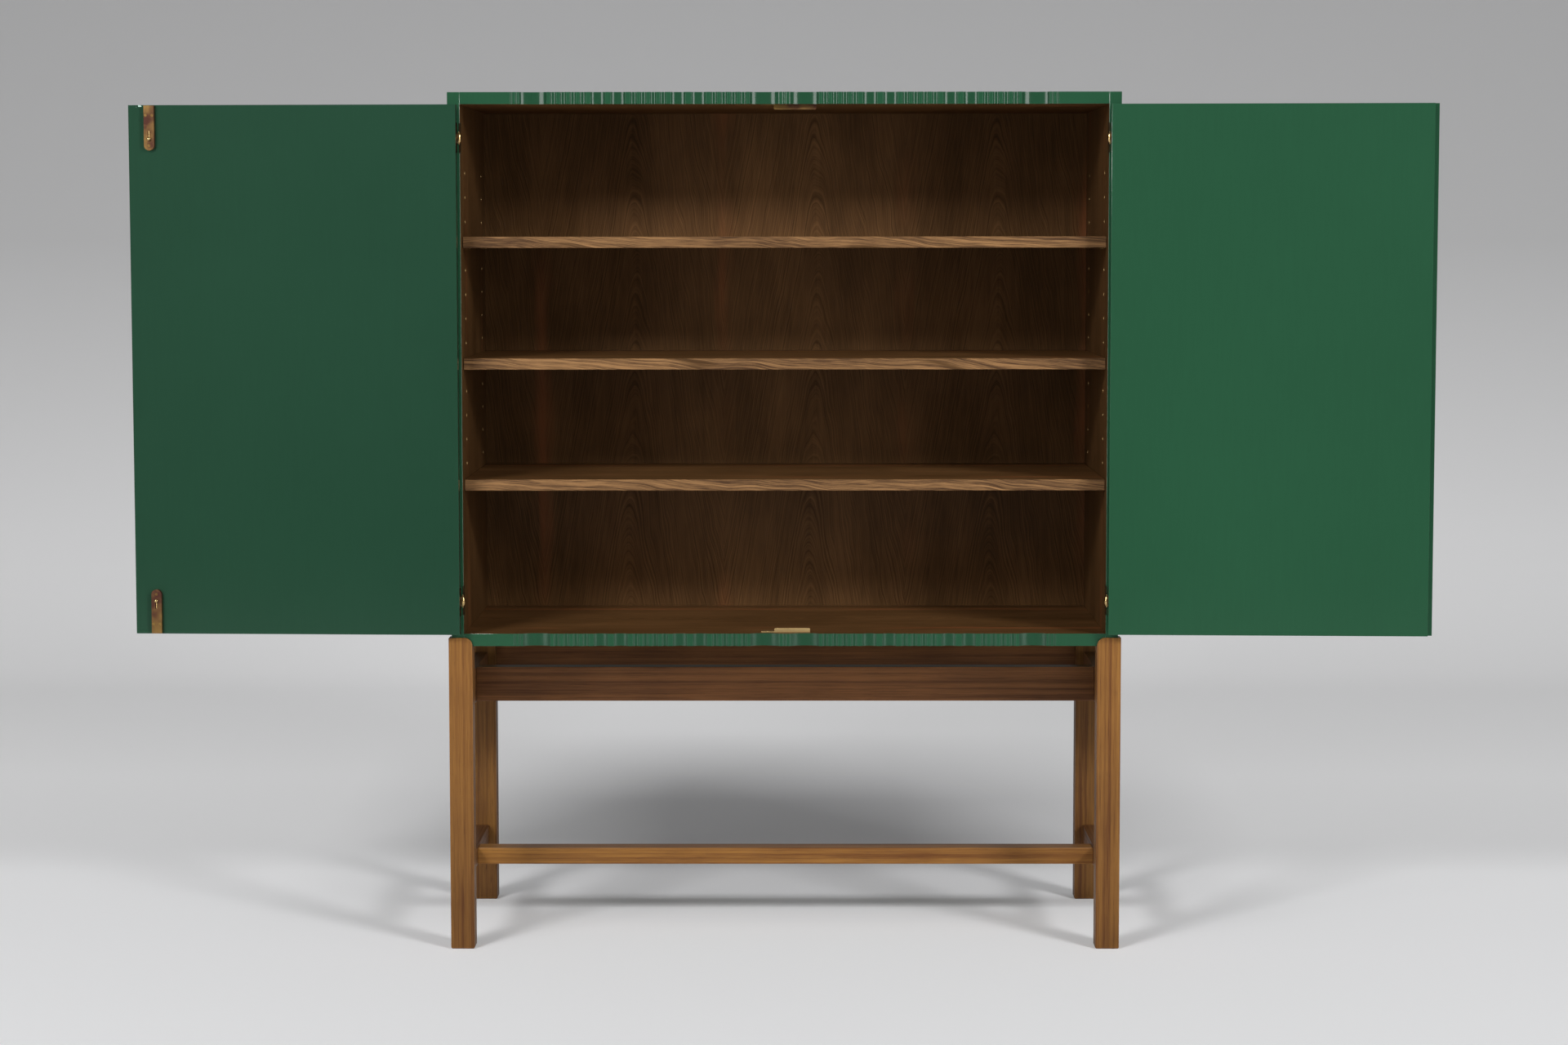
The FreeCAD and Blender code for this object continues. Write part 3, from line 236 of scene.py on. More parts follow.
class Net:
    """The nodes of one material, or of the world."""

    def __init__(self, owner):
        self.owner = owner
        self.tree = owner.node_tree
        self.tree.nodes.clear()
        is_world = isinstance(owner, bpy.types.World)
        self.place = self.node("ShaderNodeTexCoord", {}, {}, "Generated" if is_world else "Object")
        parts = self.node("ShaderNodeSeparateXYZ", {}, {0: self.place})
        outputs = parts.link.node.outputs
        self.x, self.y, self.z = (Socket(self, outputs[letter]) for letter in "XYZ")

    def node(self, kind, settings, sockets, output=0):
        """Adds a node, sets it up, and gives one of its outputs."""
        made = self.tree.nodes.new(kind)
        for name, value in settings.items():
            if name == "stops":
                self.set_stops(made.color_ramp, value)
            else:
                setattr(made, name, value)
        for name, value in sockets.items():
            if isinstance(value, Socket):
                self.tree.links.new(value.link, made.inputs[name])
            else:
                made.inputs[name].default_value = value
        return Socket(self, made.outputs[output]) if made.outputs else None

    @staticmethod
    def set_stops(ramp, stops):
        while len(ramp.elements) < len(stops):
            ramp.elements.new(1)
        for element, (position, shade) in zip(ramp.elements, stops):
            element.position = position
            element.color = tuple(shade) + (1,)

    def vector(self, x, y, z):
        return self.node("ShaderNodeCombineXYZ", {}, {0: x, 1: y, 2: z})

    def noise(self, vector, scale, detail=2.0, roughness=0.5, distortion=0.0):
        return self.node("ShaderNodeTexNoise", {"noise_dimensions": "3D"},
                         {"Vector": vector, "Scale": scale, "Detail": detail,
                          "Roughness": roughness, "Distortion": distortion})

    def grain(self, spot, scales, detail=2.0, roughness=0.5, distortion=0.0):
        """Noise with its own scale along each of three coordinates."""
        scaled = [place * scale for place, scale in zip(spot, scales)]
        return self.noise(self.vector(*scaled), 1.0, detail, roughness, distortion)

    def along(self, *letters):
        """The coordinates along these axes, and then along the axes that are left."""
        places = {"x": self.x, "y": self.y, "z": self.z}
        return [places.pop(letter) for letter in letters] + list(places.values())

    def blend(self, factor, first, second, mode="MIX"):
        """Mixes two colours."""
        def four(shade):
            return shade if isinstance(shade, Socket) else tuple(shade) + (1,)
        return self.node("ShaderNodeMix", {"data_type": "RGBA", "blend_type": mode},
                         {0: factor, 6: four(first), 7: four(second)}, 2)

    def shade(self, tint, amount):
        """A colour made darker or lighter by a number near 1."""
        grey = self.node("ShaderNodeCombineColor", {}, {0: amount, 1: amount, 2: amount})
        return self.blend(1.0, tint, grey, "MULTIPLY")

    def attribute(self, name):
        return self.node("ShaderNodeAttribute", {"attribute_name": name}, {}, "Fac")

    def surface(self, tint, roughness, height=None, depth=0.0, metallic=0.0, specular=0.5,
                glow=None, alpha=1.0):
        """Ends the nodes in one Principled surface."""
        sockets = {"Base Color": tint, "Roughness": roughness, "Metallic": metallic,
                   "Specular IOR Level": specular, "Alpha": alpha}
        if glow is not None:
            sockets.update({"Emission Color": glow, "Emission Strength": 1.0})
        if height is not None:
            sockets["Normal"] = self.node("ShaderNodeBump", {},
                                          {"Strength": 1.0, "Distance": depth, "Height": height})
        shader = self.node("ShaderNodeBsdfPrincipled", {}, sockets)
        self.node("ShaderNodeOutputMaterial", {}, {"Surface": shader})
        return self.owner


# Finishes

def lacquer(net, main, spots):
    """Satin lacquer with painted shade in the flutes, rubbed on its edges and chipped at a few spots."""
    colours = bpy.context.scene.cabinet_colours
    clouds = net.noise(net.place, 2.2, 3.0)
    fibre = net.grain((net.x, net.y, net.z), (260, 260, 14), 3.0, 0.6)
    peel = net.noise(net.place, 420.0, 1.0)
    crumbs = net.noise(net.place, 240.0, 2.0, 0.6)
    rubbed = net.attribute("eased")
    chips = 0.0
    for spot in spots:
        away = net.node("ShaderNodeVectorMath", {"operation": "DISTANCE"},
                        {0: net.place, 1: tuple(spot)}, "Value")
        chips = chips + (crumbs * 0.9 - away * 90.0).above(0.1, 0.03)
    # Painted shade: the lacquer is darkened deep in the flutes by the sunk attribute
    base = net.shade(main, 0.86 + 0.22 * clouds + 0.1 * fibre - 0.2 * net.attribute("sunk"))
    worn = net.blend(rubbed * 0.3, base, tuple(min(1, 1.8 * part + 0.01) for part in main))
    tint = net.blend(chips, worn, colours.primer)
    return net.surface(tint, 0.11 + 0.05 * clouds, peel * 0.35 + fibre * 0.65 - chips * 2,
                       depth=0.00006, specular=0.4)


def growth_lines(net, run, aside, deep):
    """Where the growth lines lie: arches up the middle of a leaf, straight beside it."""
    drift = net.grain((aside, run, deep), (6, 2.2, 3), 3.0, 0.55)
    ripple = net.grain((aside, run, deep), (34, 9, 9), 2.0, 0.55)
    off = aside + (drift - 0.5) * 0.05
    lean = off * off * 3.0 / (off * off + 0.0012) ** 0.5
    line = run * 0.55 + lean + (drift - 0.5) * 0.1 + (ripple - 0.5) * 0.02
    wide = net.noise(net.vector(line * 125, 0.0, 0.0), 1.0, 2.0, 0.6)
    narrow = net.noise(net.vector(line * 430, 4.0, 0.0), 1.0, 2.0, 0.6)
    return wide * 0.65 + narrow * 0.35


def veneer(net, along, across, leaf, shift, painted_lightness):
    """Dark sliced veneer: leaves side by side with reddish flames at their joints, fine pores."""
    colours = bpy.context.scene.cabinet_colours
    run, side, deep = net.along(along, across)
    spot = (side, run, deep)
    aside = (side - shift).within(leaf)
    lines = growth_lines(net, run, aside, deep)
    fibre = net.grain(spot, (620, 9, 620), 2.0, 0.6)
    streak = net.grain(spot, (130, 1.9, 130), 3.0, 0.65)
    pores = net.grain(spot, (900, 26, 900), 1.0).above(0.66, 0.05)
    flicker = net.grain(spot, (60, 5, 5))
    spindle = (abs(aside) + (flicker - 0.5) * 0.045).above(leaf / 2 - 0.02, 0.022)
    clouds = net.noise(net.place, 2.6)
    patches = net.grain(spot, (14, 5, 1), 3.0, 0.6)
    mix = (lines - 0.5) * 3.6 + (patches - 0.5) * 1.1 + streak * 0.5 + fibre * 0.4 - 0.1
    base = net.blend(mix, colours.veneer_dark, colours.veneer_light)
    reach = net.grain(spot, (2.5, 3.1, 1), 1.0).above(0.42, 0.2)
    warm = net.blend(spindle * reach * 0.5, base, colours.veneer_flame)
    # Painted light and shade: the lightness brightens or darkens this copy of the veneer for how light falls on
    # its pieces
    tint = net.shade(warm, painted_lightness * (0.75 + 0.5 * clouds) - 0.22 * pores)
    return net.surface(tint, 0.5 - 0.12 * streak, fibre * 0.5 - pores, depth=0.00012,
                       specular=0.12)


def lipping(net):
    """Light shelf lipping with bold wavy grain and a few dark streaks."""
    colours = bpy.context.scene.cabinet_colours
    bend = net.grain((net.x, net.y, net.z), (2.1, 1, 5), 3.0, 0.6)
    slant = net.z + net.x * 0.085 + (bend - 0.5) * 0.08
    fine = net.grain((net.x, net.y, slant), (26, 200, 1500), 3.0, 0.65)
    bold = net.grain((net.x, net.y, slant), (3.4, 30, 300), 3.0, 0.6, 0.3)
    dark = net.noise(net.vector(net.x * 4.2, net.y * 8, slant * 60 + 7), 1.0)
    clouds = net.grain((net.x, net.y, net.z), (2.4, 1, 1.5))
    mix = (bold - 0.5) * 2.4 + (fine - 0.5) * 2.8 + clouds * 0.8
    base = net.blend(mix, colours.edge_dark, colours.edge_light)
    streaked = net.blend(dark.above(0.63, 0.09) * 0.8, base, colours.veneer_dark)
    return net.surface(streaked, 0.5 - 0.1 * fine, fine, depth=0.00012, specular=0.12)


def solid_wood(net, along, tones, painted_lightness):
    """Oiled solid wood, straight in the grain, with painted shade darkening it towards the floor."""
    colours = bpy.context.scene.cabinet_colours
    run, first, second = net.along(along)
    spot = (first, second, run)
    sway = net.grain(spot, (4, 4, 1.4), 3.0)
    rings = net.grain((first, second, run * 1.1 + sway * 2.4), (150, 150, 1), distortion=0.35)
    fibre = net.grain(spot, (900, 900, 16), 2.0, 0.6)
    pores = net.grain(spot, (1100, 1100, 40), 1.0).above(0.67, 0.05)
    clouds = net.noise(net.place, 5.0)
    rubbed = net.attribute("eased")
    mix = (rings - 0.5) * 1.9 + (fibre - 0.5) * 1.2 + 0.2 + clouds * 0.6
    base = net.blend(mix, getattr(colours, tones + "_dark"), getattr(colours, tones + "_light"))
    # Painted shade: the wood is darkened towards the floor
    low = net.z.above(0.0, 0.5) * 0.35 + 0.7
    # Painted light and shade: the lightness makes a lit or shaded copy of the wood
    tint = net.shade(base, painted_lightness * (0.85 + 0.3 * clouds) * low - 0.22 * pores + 0.2 * rubbed)
    return net.surface(tint, 0.44 - 0.1 * rings, fibre * 0.4 - pores, depth=0.00014, specular=0.2)


def metal(net, bright, dull, patina, roughness):
    """Old metal, rubbed bright on its edges and clouded by patina."""
    colours = bpy.context.scene.cabinet_colours
    clouds = net.noise(net.place, 24.0, 3.0, 0.55, 0.3)
    specks = net.noise(net.place, 700.0)
    brushed = net.grain((net.x, net.y, net.z), (1500, 1500, 60))
    rubbed = net.attribute("eased")
    aged = (clouds + (0.5 - rubbed) * 0.24).above(1 - patina, 0.3)
    blended = net.blend(aged, getattr(colours, bright), getattr(colours, dull))
    tint = net.shade(blended, 0.85 + 0.3 * specks)
    return net.surface(tint, roughness + 0.2 * aged + 0.08 * specks, brushed * 0.5 + specks * 0.5,
                       depth=0.00004, metallic=1.0)


# Each finish's maker and what it takes. Veneer takes its grain's axis, the axis across it, a leaf's width, the
# leaves' shift and its painted lightness. Wood takes its grain's axis, tones and painted lightness, and metal its
# bright and dull colours, its share of patina and its roughness. The painted lightness makes lit and shaded copies
# of one veneer or wood, as painted light and shade.
FINISHES = {
    "veneer along X": (veneer, "x", "y", 0.31, 0.0, 1.45),
    "veneer along Z": (veneer, "z", "y", 0.29, 0.0, 0.85),
    "veneer of the back": (veneer, "z", "x", 0.343, 0.055, 1.02),
    "light lipping": (lipping,),
    # Painted light and shade: the rear legs are a darker copy of the legs' wood, and the low middle stretcher a
    # lighter one
    "leg wood front": (solid_wood, "z", "stand", 1.0),
    "leg wood rear": (solid_wood, "z", "stand", 0.74),
    "stretcher wood along X": (solid_wood, "x", "stand", 1.35),
    # Painted shade: the rails' darker tones
    "rail wood along X": (solid_wood, "x", "rail", 1.0),
    "rail wood along Y": (solid_wood, "y", "rail", 1.0),
    "aged brass": (metal, "brass", "patina", 0.6, 0.42),
    "polished brass": (metal, "polished", "brass", 0.4, 0.16),
    "satin brass": (metal, "polished", "brass", 0.2, 0.42),
    # Painted shade: brass of the hinge leaves, darkened
    "darkened brass": (metal, "leaf", "patina", 0.3, 0.45),
    "dulled steel": (metal, "steel", "patina", 0.5, 0.32),
}


def new_finish(name):
    """The nodes of a new material."""
    material = bpy.data.materials.new(name)
    material.use_nodes = True
    return Net(material)


def finish(name):
    """A finish from the list, made once and shared by the pieces that have it."""
    maker, *values = FINISHES[name]
    return bpy.data.materials.get(name) or maker(new_finish(name), *values)


def green():
    """The lacquer of the right door and the case, chipped at the door's lower free corner."""
    name = "green lacquer"
    low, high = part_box("right_door")
    spots = [(high.x - RIGHT_CHIP_IN, low.y, low.z)]
    main = bpy.context.scene.cabinet_colours.lacquer
    return bpy.data.materials.get(name) or lacquer(new_finish(name), main, spots)


def cool_shaded_green():
    """The lacquer of the left door, a darker copy of the right door's as painted shade and cooler in hue, chipped
    twice at its upper free corner.
    """
    low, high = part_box("left_door")
    deep = centre("top_bolt_housing").y + LEFT_CHIP_BACK
    spots = [(low.x + across, deep, high.z) for across in LEFT_CHIPS_IN]
    # Painted shade: the left door gets a darker copy of the lacquer
    main = bpy.context.scene.cabinet_colours.lacquer_left_shaded
    return lacquer(new_finish("cool green lacquer"), main, spots)


# Shapes

def merged(node):
    """A copy of a CAD node's mesh with its triangles joined into flat faces."""
    bm = bmesh.new()
    bm.from_mesh(frame["nodes"][node].data)
    bmesh.ops.remove_doubles(bm, verts=bm.verts, dist=TOUCH)
    bmesh.ops.dissolve_limit(bm, angle_limit=math.radians(FLAT_ANGLE), verts=bm.verts,
                             edges=bm.edges)
    return bm


def ease(bm, width, shortest=0.0):
    """Bevels the sharp edges and marks the new faces as eased."""
    worn = bm.faces.layers.float.new("eased")
    sharp = [edge for edge in bm.edges
             if edge.is_manifold and edge.calc_length() >= shortest
             and edge.calc_face_angle() > math.radians(EASED_ANGLE)]
    result = bmesh.ops.bevel(bm, geom=sharp, offset=width, offset_type="OFFSET",
                             segments=EASED_STEPS, profile=0.5, affect="EDGES",
                             clamp_overlap=True, material=-1)
    for face in result["faces"]:
        face[worn] = 1.0


def slab(low, high, width):
    """A block between two corners, with its edges eased."""
    bm = bmesh.new()
    bmesh.ops.create_cube(bm, size=1)
    low, high = Vector(low), Vector(high)
    bmesh.ops.scale(bm, vec=high - low, verts=bm.verts)
    bmesh.ops.translate(bm, vec=(low + high) / 2, verts=bm.verts)
    ease(bm, width)
    return bm


def spun(bm, geometry, steps):
    """Turns an outline once about Z and points its faces outwards."""
    bmesh.ops.spin(bm, geom=geometry, cent=(0, 0, 0), axis=UP, angle=2 * math.pi, steps=steps,
                   use_merge=True, use_duplicate=False)
    bmesh.ops.remove_doubles(bm, verts=bm.verts, dist=FINE_TOUCH)
    bmesh.ops.recalc_face_normals(bm, faces=bm.faces)
    return bm


def turned(outline, steps):
    """A shape spun about Z from its outline of radius and height."""
    bm = bmesh.new()
    points = [bm.verts.new((radius, 0, height)) for radius, height in outline]
    lines = [bm.edges.new(pair) for pair in zip(points, points[1:])]
    return spun(bm, points + lines, steps)


def dome(radius, rise, height, angles, fullness=1.0):
    """Points of radius and height on a dome about Z, at angles above its widest ring."""
    return [(radius * math.cos(math.radians(angle)) ** fullness,
             height + rise * math.sin(math.radians(angle))) for angle in angles]


def moved(bm, matrix):
    bmesh.ops.transform(bm, matrix=matrix, verts=bm.verts)
    return bm


def add(bm, *others):
    """Adds other shapes to one and frees them."""
    for other in others:
        mesh = bpy.data.meshes.new("part")
        other.to_mesh(mesh)
        other.free()
        bm.from_mesh(mesh)
        bpy.data.meshes.remove(mesh)
    return bm


def stand_up(place, toward):
    """A matrix that takes +Z to a direction at a place."""
    turn = UP.rotation_difference(Vector(toward)).to_matrix().to_4x4()
    return Matrix.Translation(Vector(place)) @ turn


def axes_at(place, *axes):
    """A matrix that takes X, Y and Z to three directions at a place."""
    rows = [[axis[row] for axis in axes] for row in range(3)]
    return Matrix.Translation(place) @ Matrix(rows).to_4x4()


def crease(bm):
    """Smooth shading, with a crease at each sharp edge and round each broad flat face."""
    broad = {face for face in bm.faces
             if face.calc_area() > BROAD_WIDTH * max(edge.calc_length() for edge in face.edges)}
    for face in bm.faces:
        face.smooth = True
    for edge in bm.edges:
        sharp = edge.is_manifold and edge.calc_face_angle() > math.radians(CREASE_ANGLE)
        edge.smooth = not (sharp or broad.intersection(edge.link_faces))


def wear(bm, amount):
    """Marks all faces of a shape as rubbed by an amount from 0 to 1."""
    worn = bm.faces.layers.float.new("eased")
    for face in bm.faces:
        face[worn] = amount


def mark_flute_shade(bm, depth_of):
    """Marks how deep in a flute each point lies, for the painted shade that darkens the lacquer there."""
    sunk = bm.verts.layers.float.new("sunk")
    for vert in bm.verts:
        depth = depth_of(vert.co)
        share = depth / FLUTE_DARKEST if depth < FLUTE_LIMIT else 0.0
        vert[sunk] = max(0.0, min(1.0, share))


def piece(name, bm, node, finishes, choose=None):
    """Makes a shape's object in place of a CAD node, on the node's body, with the finishes as its material slots.
    """
    mesh = bpy.data.meshes.new(name)
    if choose:
        for face in bm.faces:
            face.material_index = choose(face)
    crease(bm)
    bm.to_mesh(mesh)
    bm.free()
    for material in finishes:
        mesh.materials.append(material)
    made = bpy.data.objects.new(name, mesh)
    bpy.context.scene.collection.objects.link(made)
    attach(made, BODY_OF[node])
    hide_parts(node)


def eased_copy(node, width, finishes, choose=None, shortest=0.0, depth_of=None):
    """A CAD node's shape with eased edges, in its place."""
    bm = merged(node)
    ease(bm, width, shortest)
    if depth_of:
        mark_flute_shade(bm, depth_of)
    piece("eased_" + node, bm, node, finishes, choose)


def coat(nodes, material):
    """Gives CAD nodes a finish as they are."""
    for node in nodes:
        for slot in frame["nodes"][node].material_slots:
            slot.material = material


def centre(node):
    low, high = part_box(node)
    return (low + high) / 2


def closed_to_open(side):
    """The matrix that takes a closed door's piece to where the door stands open."""
    joint = JOINTS[side + "_door_swing"]
    angle = -math.radians(joint["range_deg"][1]) * joint["axis"][2]
    pin = Vector(joint["pos_m"])
    return Matrix.Translation(pin) @ Matrix.Rotation(angle, 4, "Z") @ Matrix.Translation(-pin)


# A screw's head: how far it stands proud, how deep its rim and its slot go, its foot's share of its
# top, how rubbed it is, how far its slot turns with each metre of height, and its steps
SCREW_PROUD = 0.0003
SCREW_RIM = 0.0009
SLOT_DEPTH = 0.0006
SCREW_FOOT_SHARE = 0.8
SCREW_WEAR = 0.6
SCREW_TURN = 7.0
SCREW_STEPS = 18


def screw(place, toward, radius, slot):
    """A slotted flush screw's head, a little proud, facing a direction."""
    bm = bmesh.new()
    bmesh.ops.create_cone(bm, cap_ends=True, segments=SCREW_STEPS, radius2=radius,
                          radius1=radius * SCREW_FOOT_SHARE, depth=2 * SCREW_PROUD + SCREW_RIM)
    bmesh.ops.translate(bm, vec=(0, 0, -SCREW_RIM / 2), verts=bm.verts)
    for offset in (-slot / 2, slot / 2):
        bmesh.ops.bisect_plane(bm, geom=bm.verts[:] + bm.edges[:] + bm.faces[:],
                               plane_co=(0, offset, 0), plane_no=(0, 1, 0), dist=FINE_TOUCH)
    top = [face for face in bm.faces if face.normal.z > FACING
           and abs(face.calc_center_median().y) < slot / 2]
    sunk = bmesh.ops.extrude_discrete_faces(bm, faces=top)["faces"]
    bmesh.ops.translate(bm, vec=(0, 0, -SLOT_DEPTH),
                        verts=list({vert for face in sunk for vert in face.verts}))
    wear(bm, SCREW_WEAR)
    return moved(bm, stand_up(place, toward) @ Matrix.Rotation(SCREW_TURN * place[2], 4, "Z"))


# Pieces of the cabinet

class CabinetOperator(bpy.types.Operator):
    """Common settings of the operators."""
    bl_options = {"REGISTER", "UNDO"}


class CABINET_OT_doors(CabinetOperator):
    """Add the two lacquered doors"""
    bl_idname = "cabinet.doors"
    bl_label = "Doors"

    def execute(self, context):
        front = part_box("case_left_side")[0].y
        for side, lacquered in (("left", cool_shaded_green()), ("right", green())):
            closed = closed_to_open(side).inverted()
            eased_copy(side + "_door", context.scene.fitting_sizes.edge, [lacquered],
                       shortest=BOARD_SHORTEST,
                       depth_of=lambda point: (closed @ point).y - front)
        return {"FINISHED"}


# A side is veneered where a face lies no further out than its inner face and this, and a board
# where a face's middle lies this far behind its front
VENEER_REACH = 0.0001
VENEER_START = 0.01


class CABINET_OT_case(CabinetOperator):
    """Add the case: its boards, its sides and its back"""
    bl_idname = "cabinet.case"
    bl_label = "Case"

    def execute(self, context):
        width = context.scene.fitting_sizes.edge
        low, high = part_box("case_left_side")
        reach, front = abs(high.x) + VENEER_REACH, low.y

        def is_inner(face):
            across = abs(face.normal.x) > FACING
            return int(across and abs(face.calc_center_median().x) < reach)

        for side in SIDES:
            eased_copy("case_%s_side" % side, width, [green(), finish("veneer along Z")], is_inner,
                       BOARD_SHORTEST)
        for node, sign in (("case_top", -1), ("case_bottom", 1)):

            def is_veneered(face):
                behind = face.calc_center_bounds().y > front + VENEER_START
                return int(face.normal.z * sign > FACING and behind)

            eased_copy(node, width, [green(), finish("veneer along X")], is_veneered,
                       BOARD_SHORTEST, lambda point: point.y - front)
        eased_copy("back_panel", width, [finish("veneer of the back")])
        return {"FINISHED"}


# A lipping's thickness, from a shelf's front
LIPPING_DEEP = 0.0006

# The sleeves: rows of them, the radius of the CAD's six-sided ones, how deep a sleeve goes, how
# proud its rim stands, how far the rim is rounded, how far the sleeve narrows, and its steps
SLEEVE_ROWS = 14
SLEEVE_CAD_RADIUS = 0.0035
SLEEVE_DEEP = 0.0095
SLEEVE_PROUD = 0.0004
SLEEVE_ROUND = 0.0003
SLEEVE_TAPER = 0.0002
SLEEVE_STEPS = 14


class CABINET_OT_shelves(CabinetOperator):
    """Add the three shelves with their light lippings, their pins and the pins' sleeves"""
    bl_idname = "cabinet.shelves"
    bl_label = "Shelves"

    def execute(self, context):
        sizes = context.scene.fitting_sizes
        for name in SHELVES:
            node = name + "_shelf_board"
            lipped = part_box(node)[0].y + LIPPING_DEEP
            eased_copy(node, sizes.edge, [finish("veneer along X"), finish("light lipping")],
                       lambda face: int(face.calc_center_median().y < lipped))
        eased_copy("shelf_pins", sizes.fitting_edge, [finish("aged brass")],
                   shortest=PIN_SHORTEST)
        rings = bmesh.new()
        inner = abs(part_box("case_left_side")[1].x)
        low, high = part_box("pin_sleeves")
        for sign in (-1, 1):
            for y in (low.y + SLEEVE_CAD_RADIUS, high.y - SLEEVE_CAD_RADIUS):
                for z in self.heights(low.z, high.z):
                    ring = turned(self.outline(sizes), SLEEVE_STEPS)
                    add(rings, moved(ring, stand_up((inner * sign, y, z), (sign, 0, 0))))
        piece("sleeve_rings", rings, "pin_sleeves", [finish("satin brass")])
        return {"FINISHED"}

    @staticmethod
    def outline(sizes):
        """A sleeve's outline, from its end in the wood round its proud rim and back."""
        outer, bore = sizes.sleeve_radius, sizes.sleeve_bore
        return ((bore, SLEEVE_DEEP), (bore, 0.0), (bore + SLEEVE_ROUND, -SLEEVE_PROUD),
                (outer - SLEEVE_ROUND, -SLEEVE_PROUD), (outer, 0.0),
                (outer - SLEEVE_TAPER, SLEEVE_DEEP))

    @staticmethod
    def heights(low, high):
        """Heights of the rows, from the box of the CAD's sleeves, which have two flats level."""
        half = SLEEVE_CAD_RADIUS * math.cos(math.radians(30))
        first, last = low + half, high - half
        return [first + (last - first) * row / (SLEEVE_ROWS - 1) for row in range(SLEEVE_ROWS)]


# How wide a rail's eased edges are beside a leg's
RAIL_EDGE_SHARE = 0.6


class CABINET_OT_stand(CabinetOperator):
    """Add the stand's legs and rails"""
    bl_idname = "cabinet.stand"
    bl_label = "Stand"

    def execute(self, context):
        width = context.scene.fitting_sizes.leg_edge
        for end in ENDS:
            for side in SIDES:
                eased_copy("%s_%s_leg" % (end, side), width, [finish("leg wood " + end)])
        rails = [("upper_middle_rail", "rail wood along X"),
                 ("upper_rear_rail", "rail wood along X"),
                 ("low_middle_stretcher", "stretcher wood along X")]
        for side in SIDES:
            rails += [("upper_%s_rail" % side, "rail wood along Y"),
                      ("low_%s_stretcher" % side, "rail wood along Y")]
        for node, wood in rails:
            eased_copy(node, width * RAIL_EDGE_SHARE, [finish(wood)])
        coat(["case_dowels"], finish("rail wood along X"))
        return {"FINISHED"}


# The hinges: how far the pin lies past the case side's inner face, how far a closed door is off that
# face, a leaf's thickness, its front behind the pin, its width and its play, how far its neck laps
# onto it, and the neck's foot and top from the joint line
PIN_PAST_FACE = 0.001
DOOR_GAP = 0.001
LEAF_THICK = 0.0020
LEAF_FRONT = 0.0053
LEAF_WIDTH = 0.02
LEAF_CLEAR = 0.0001
NECK_LAP = 0.001
NECK_FOOT = 0.0002
NECK_TOP = 0.008

# Screws in from a leaf's front, and from one screw to the next
LEAF_SCREW_IN = 0.009
LEAF_SCREW_STEP = 0.018

# Half a knuckle: its gap from the joint line, its rounded foot, how full its sides are, how far out
# the ball's middle is as a share of its radius, how rubbed it is, and its outline's angles
KNUCKLE_GAP = 0.00015
KNUCKLE_FOOT = 0.0004
KNUCKLE_ROUND = 0.0002
KNUCKLE_FULLNESS = 0.8
TIP_OUT_SHARE = 0.3
KNUCKLE_WEAR = 0.7
KNUCKLE_ANGLES = range(12, 73, 6)
TIP_ANGLES = range(-30, 90, 20)


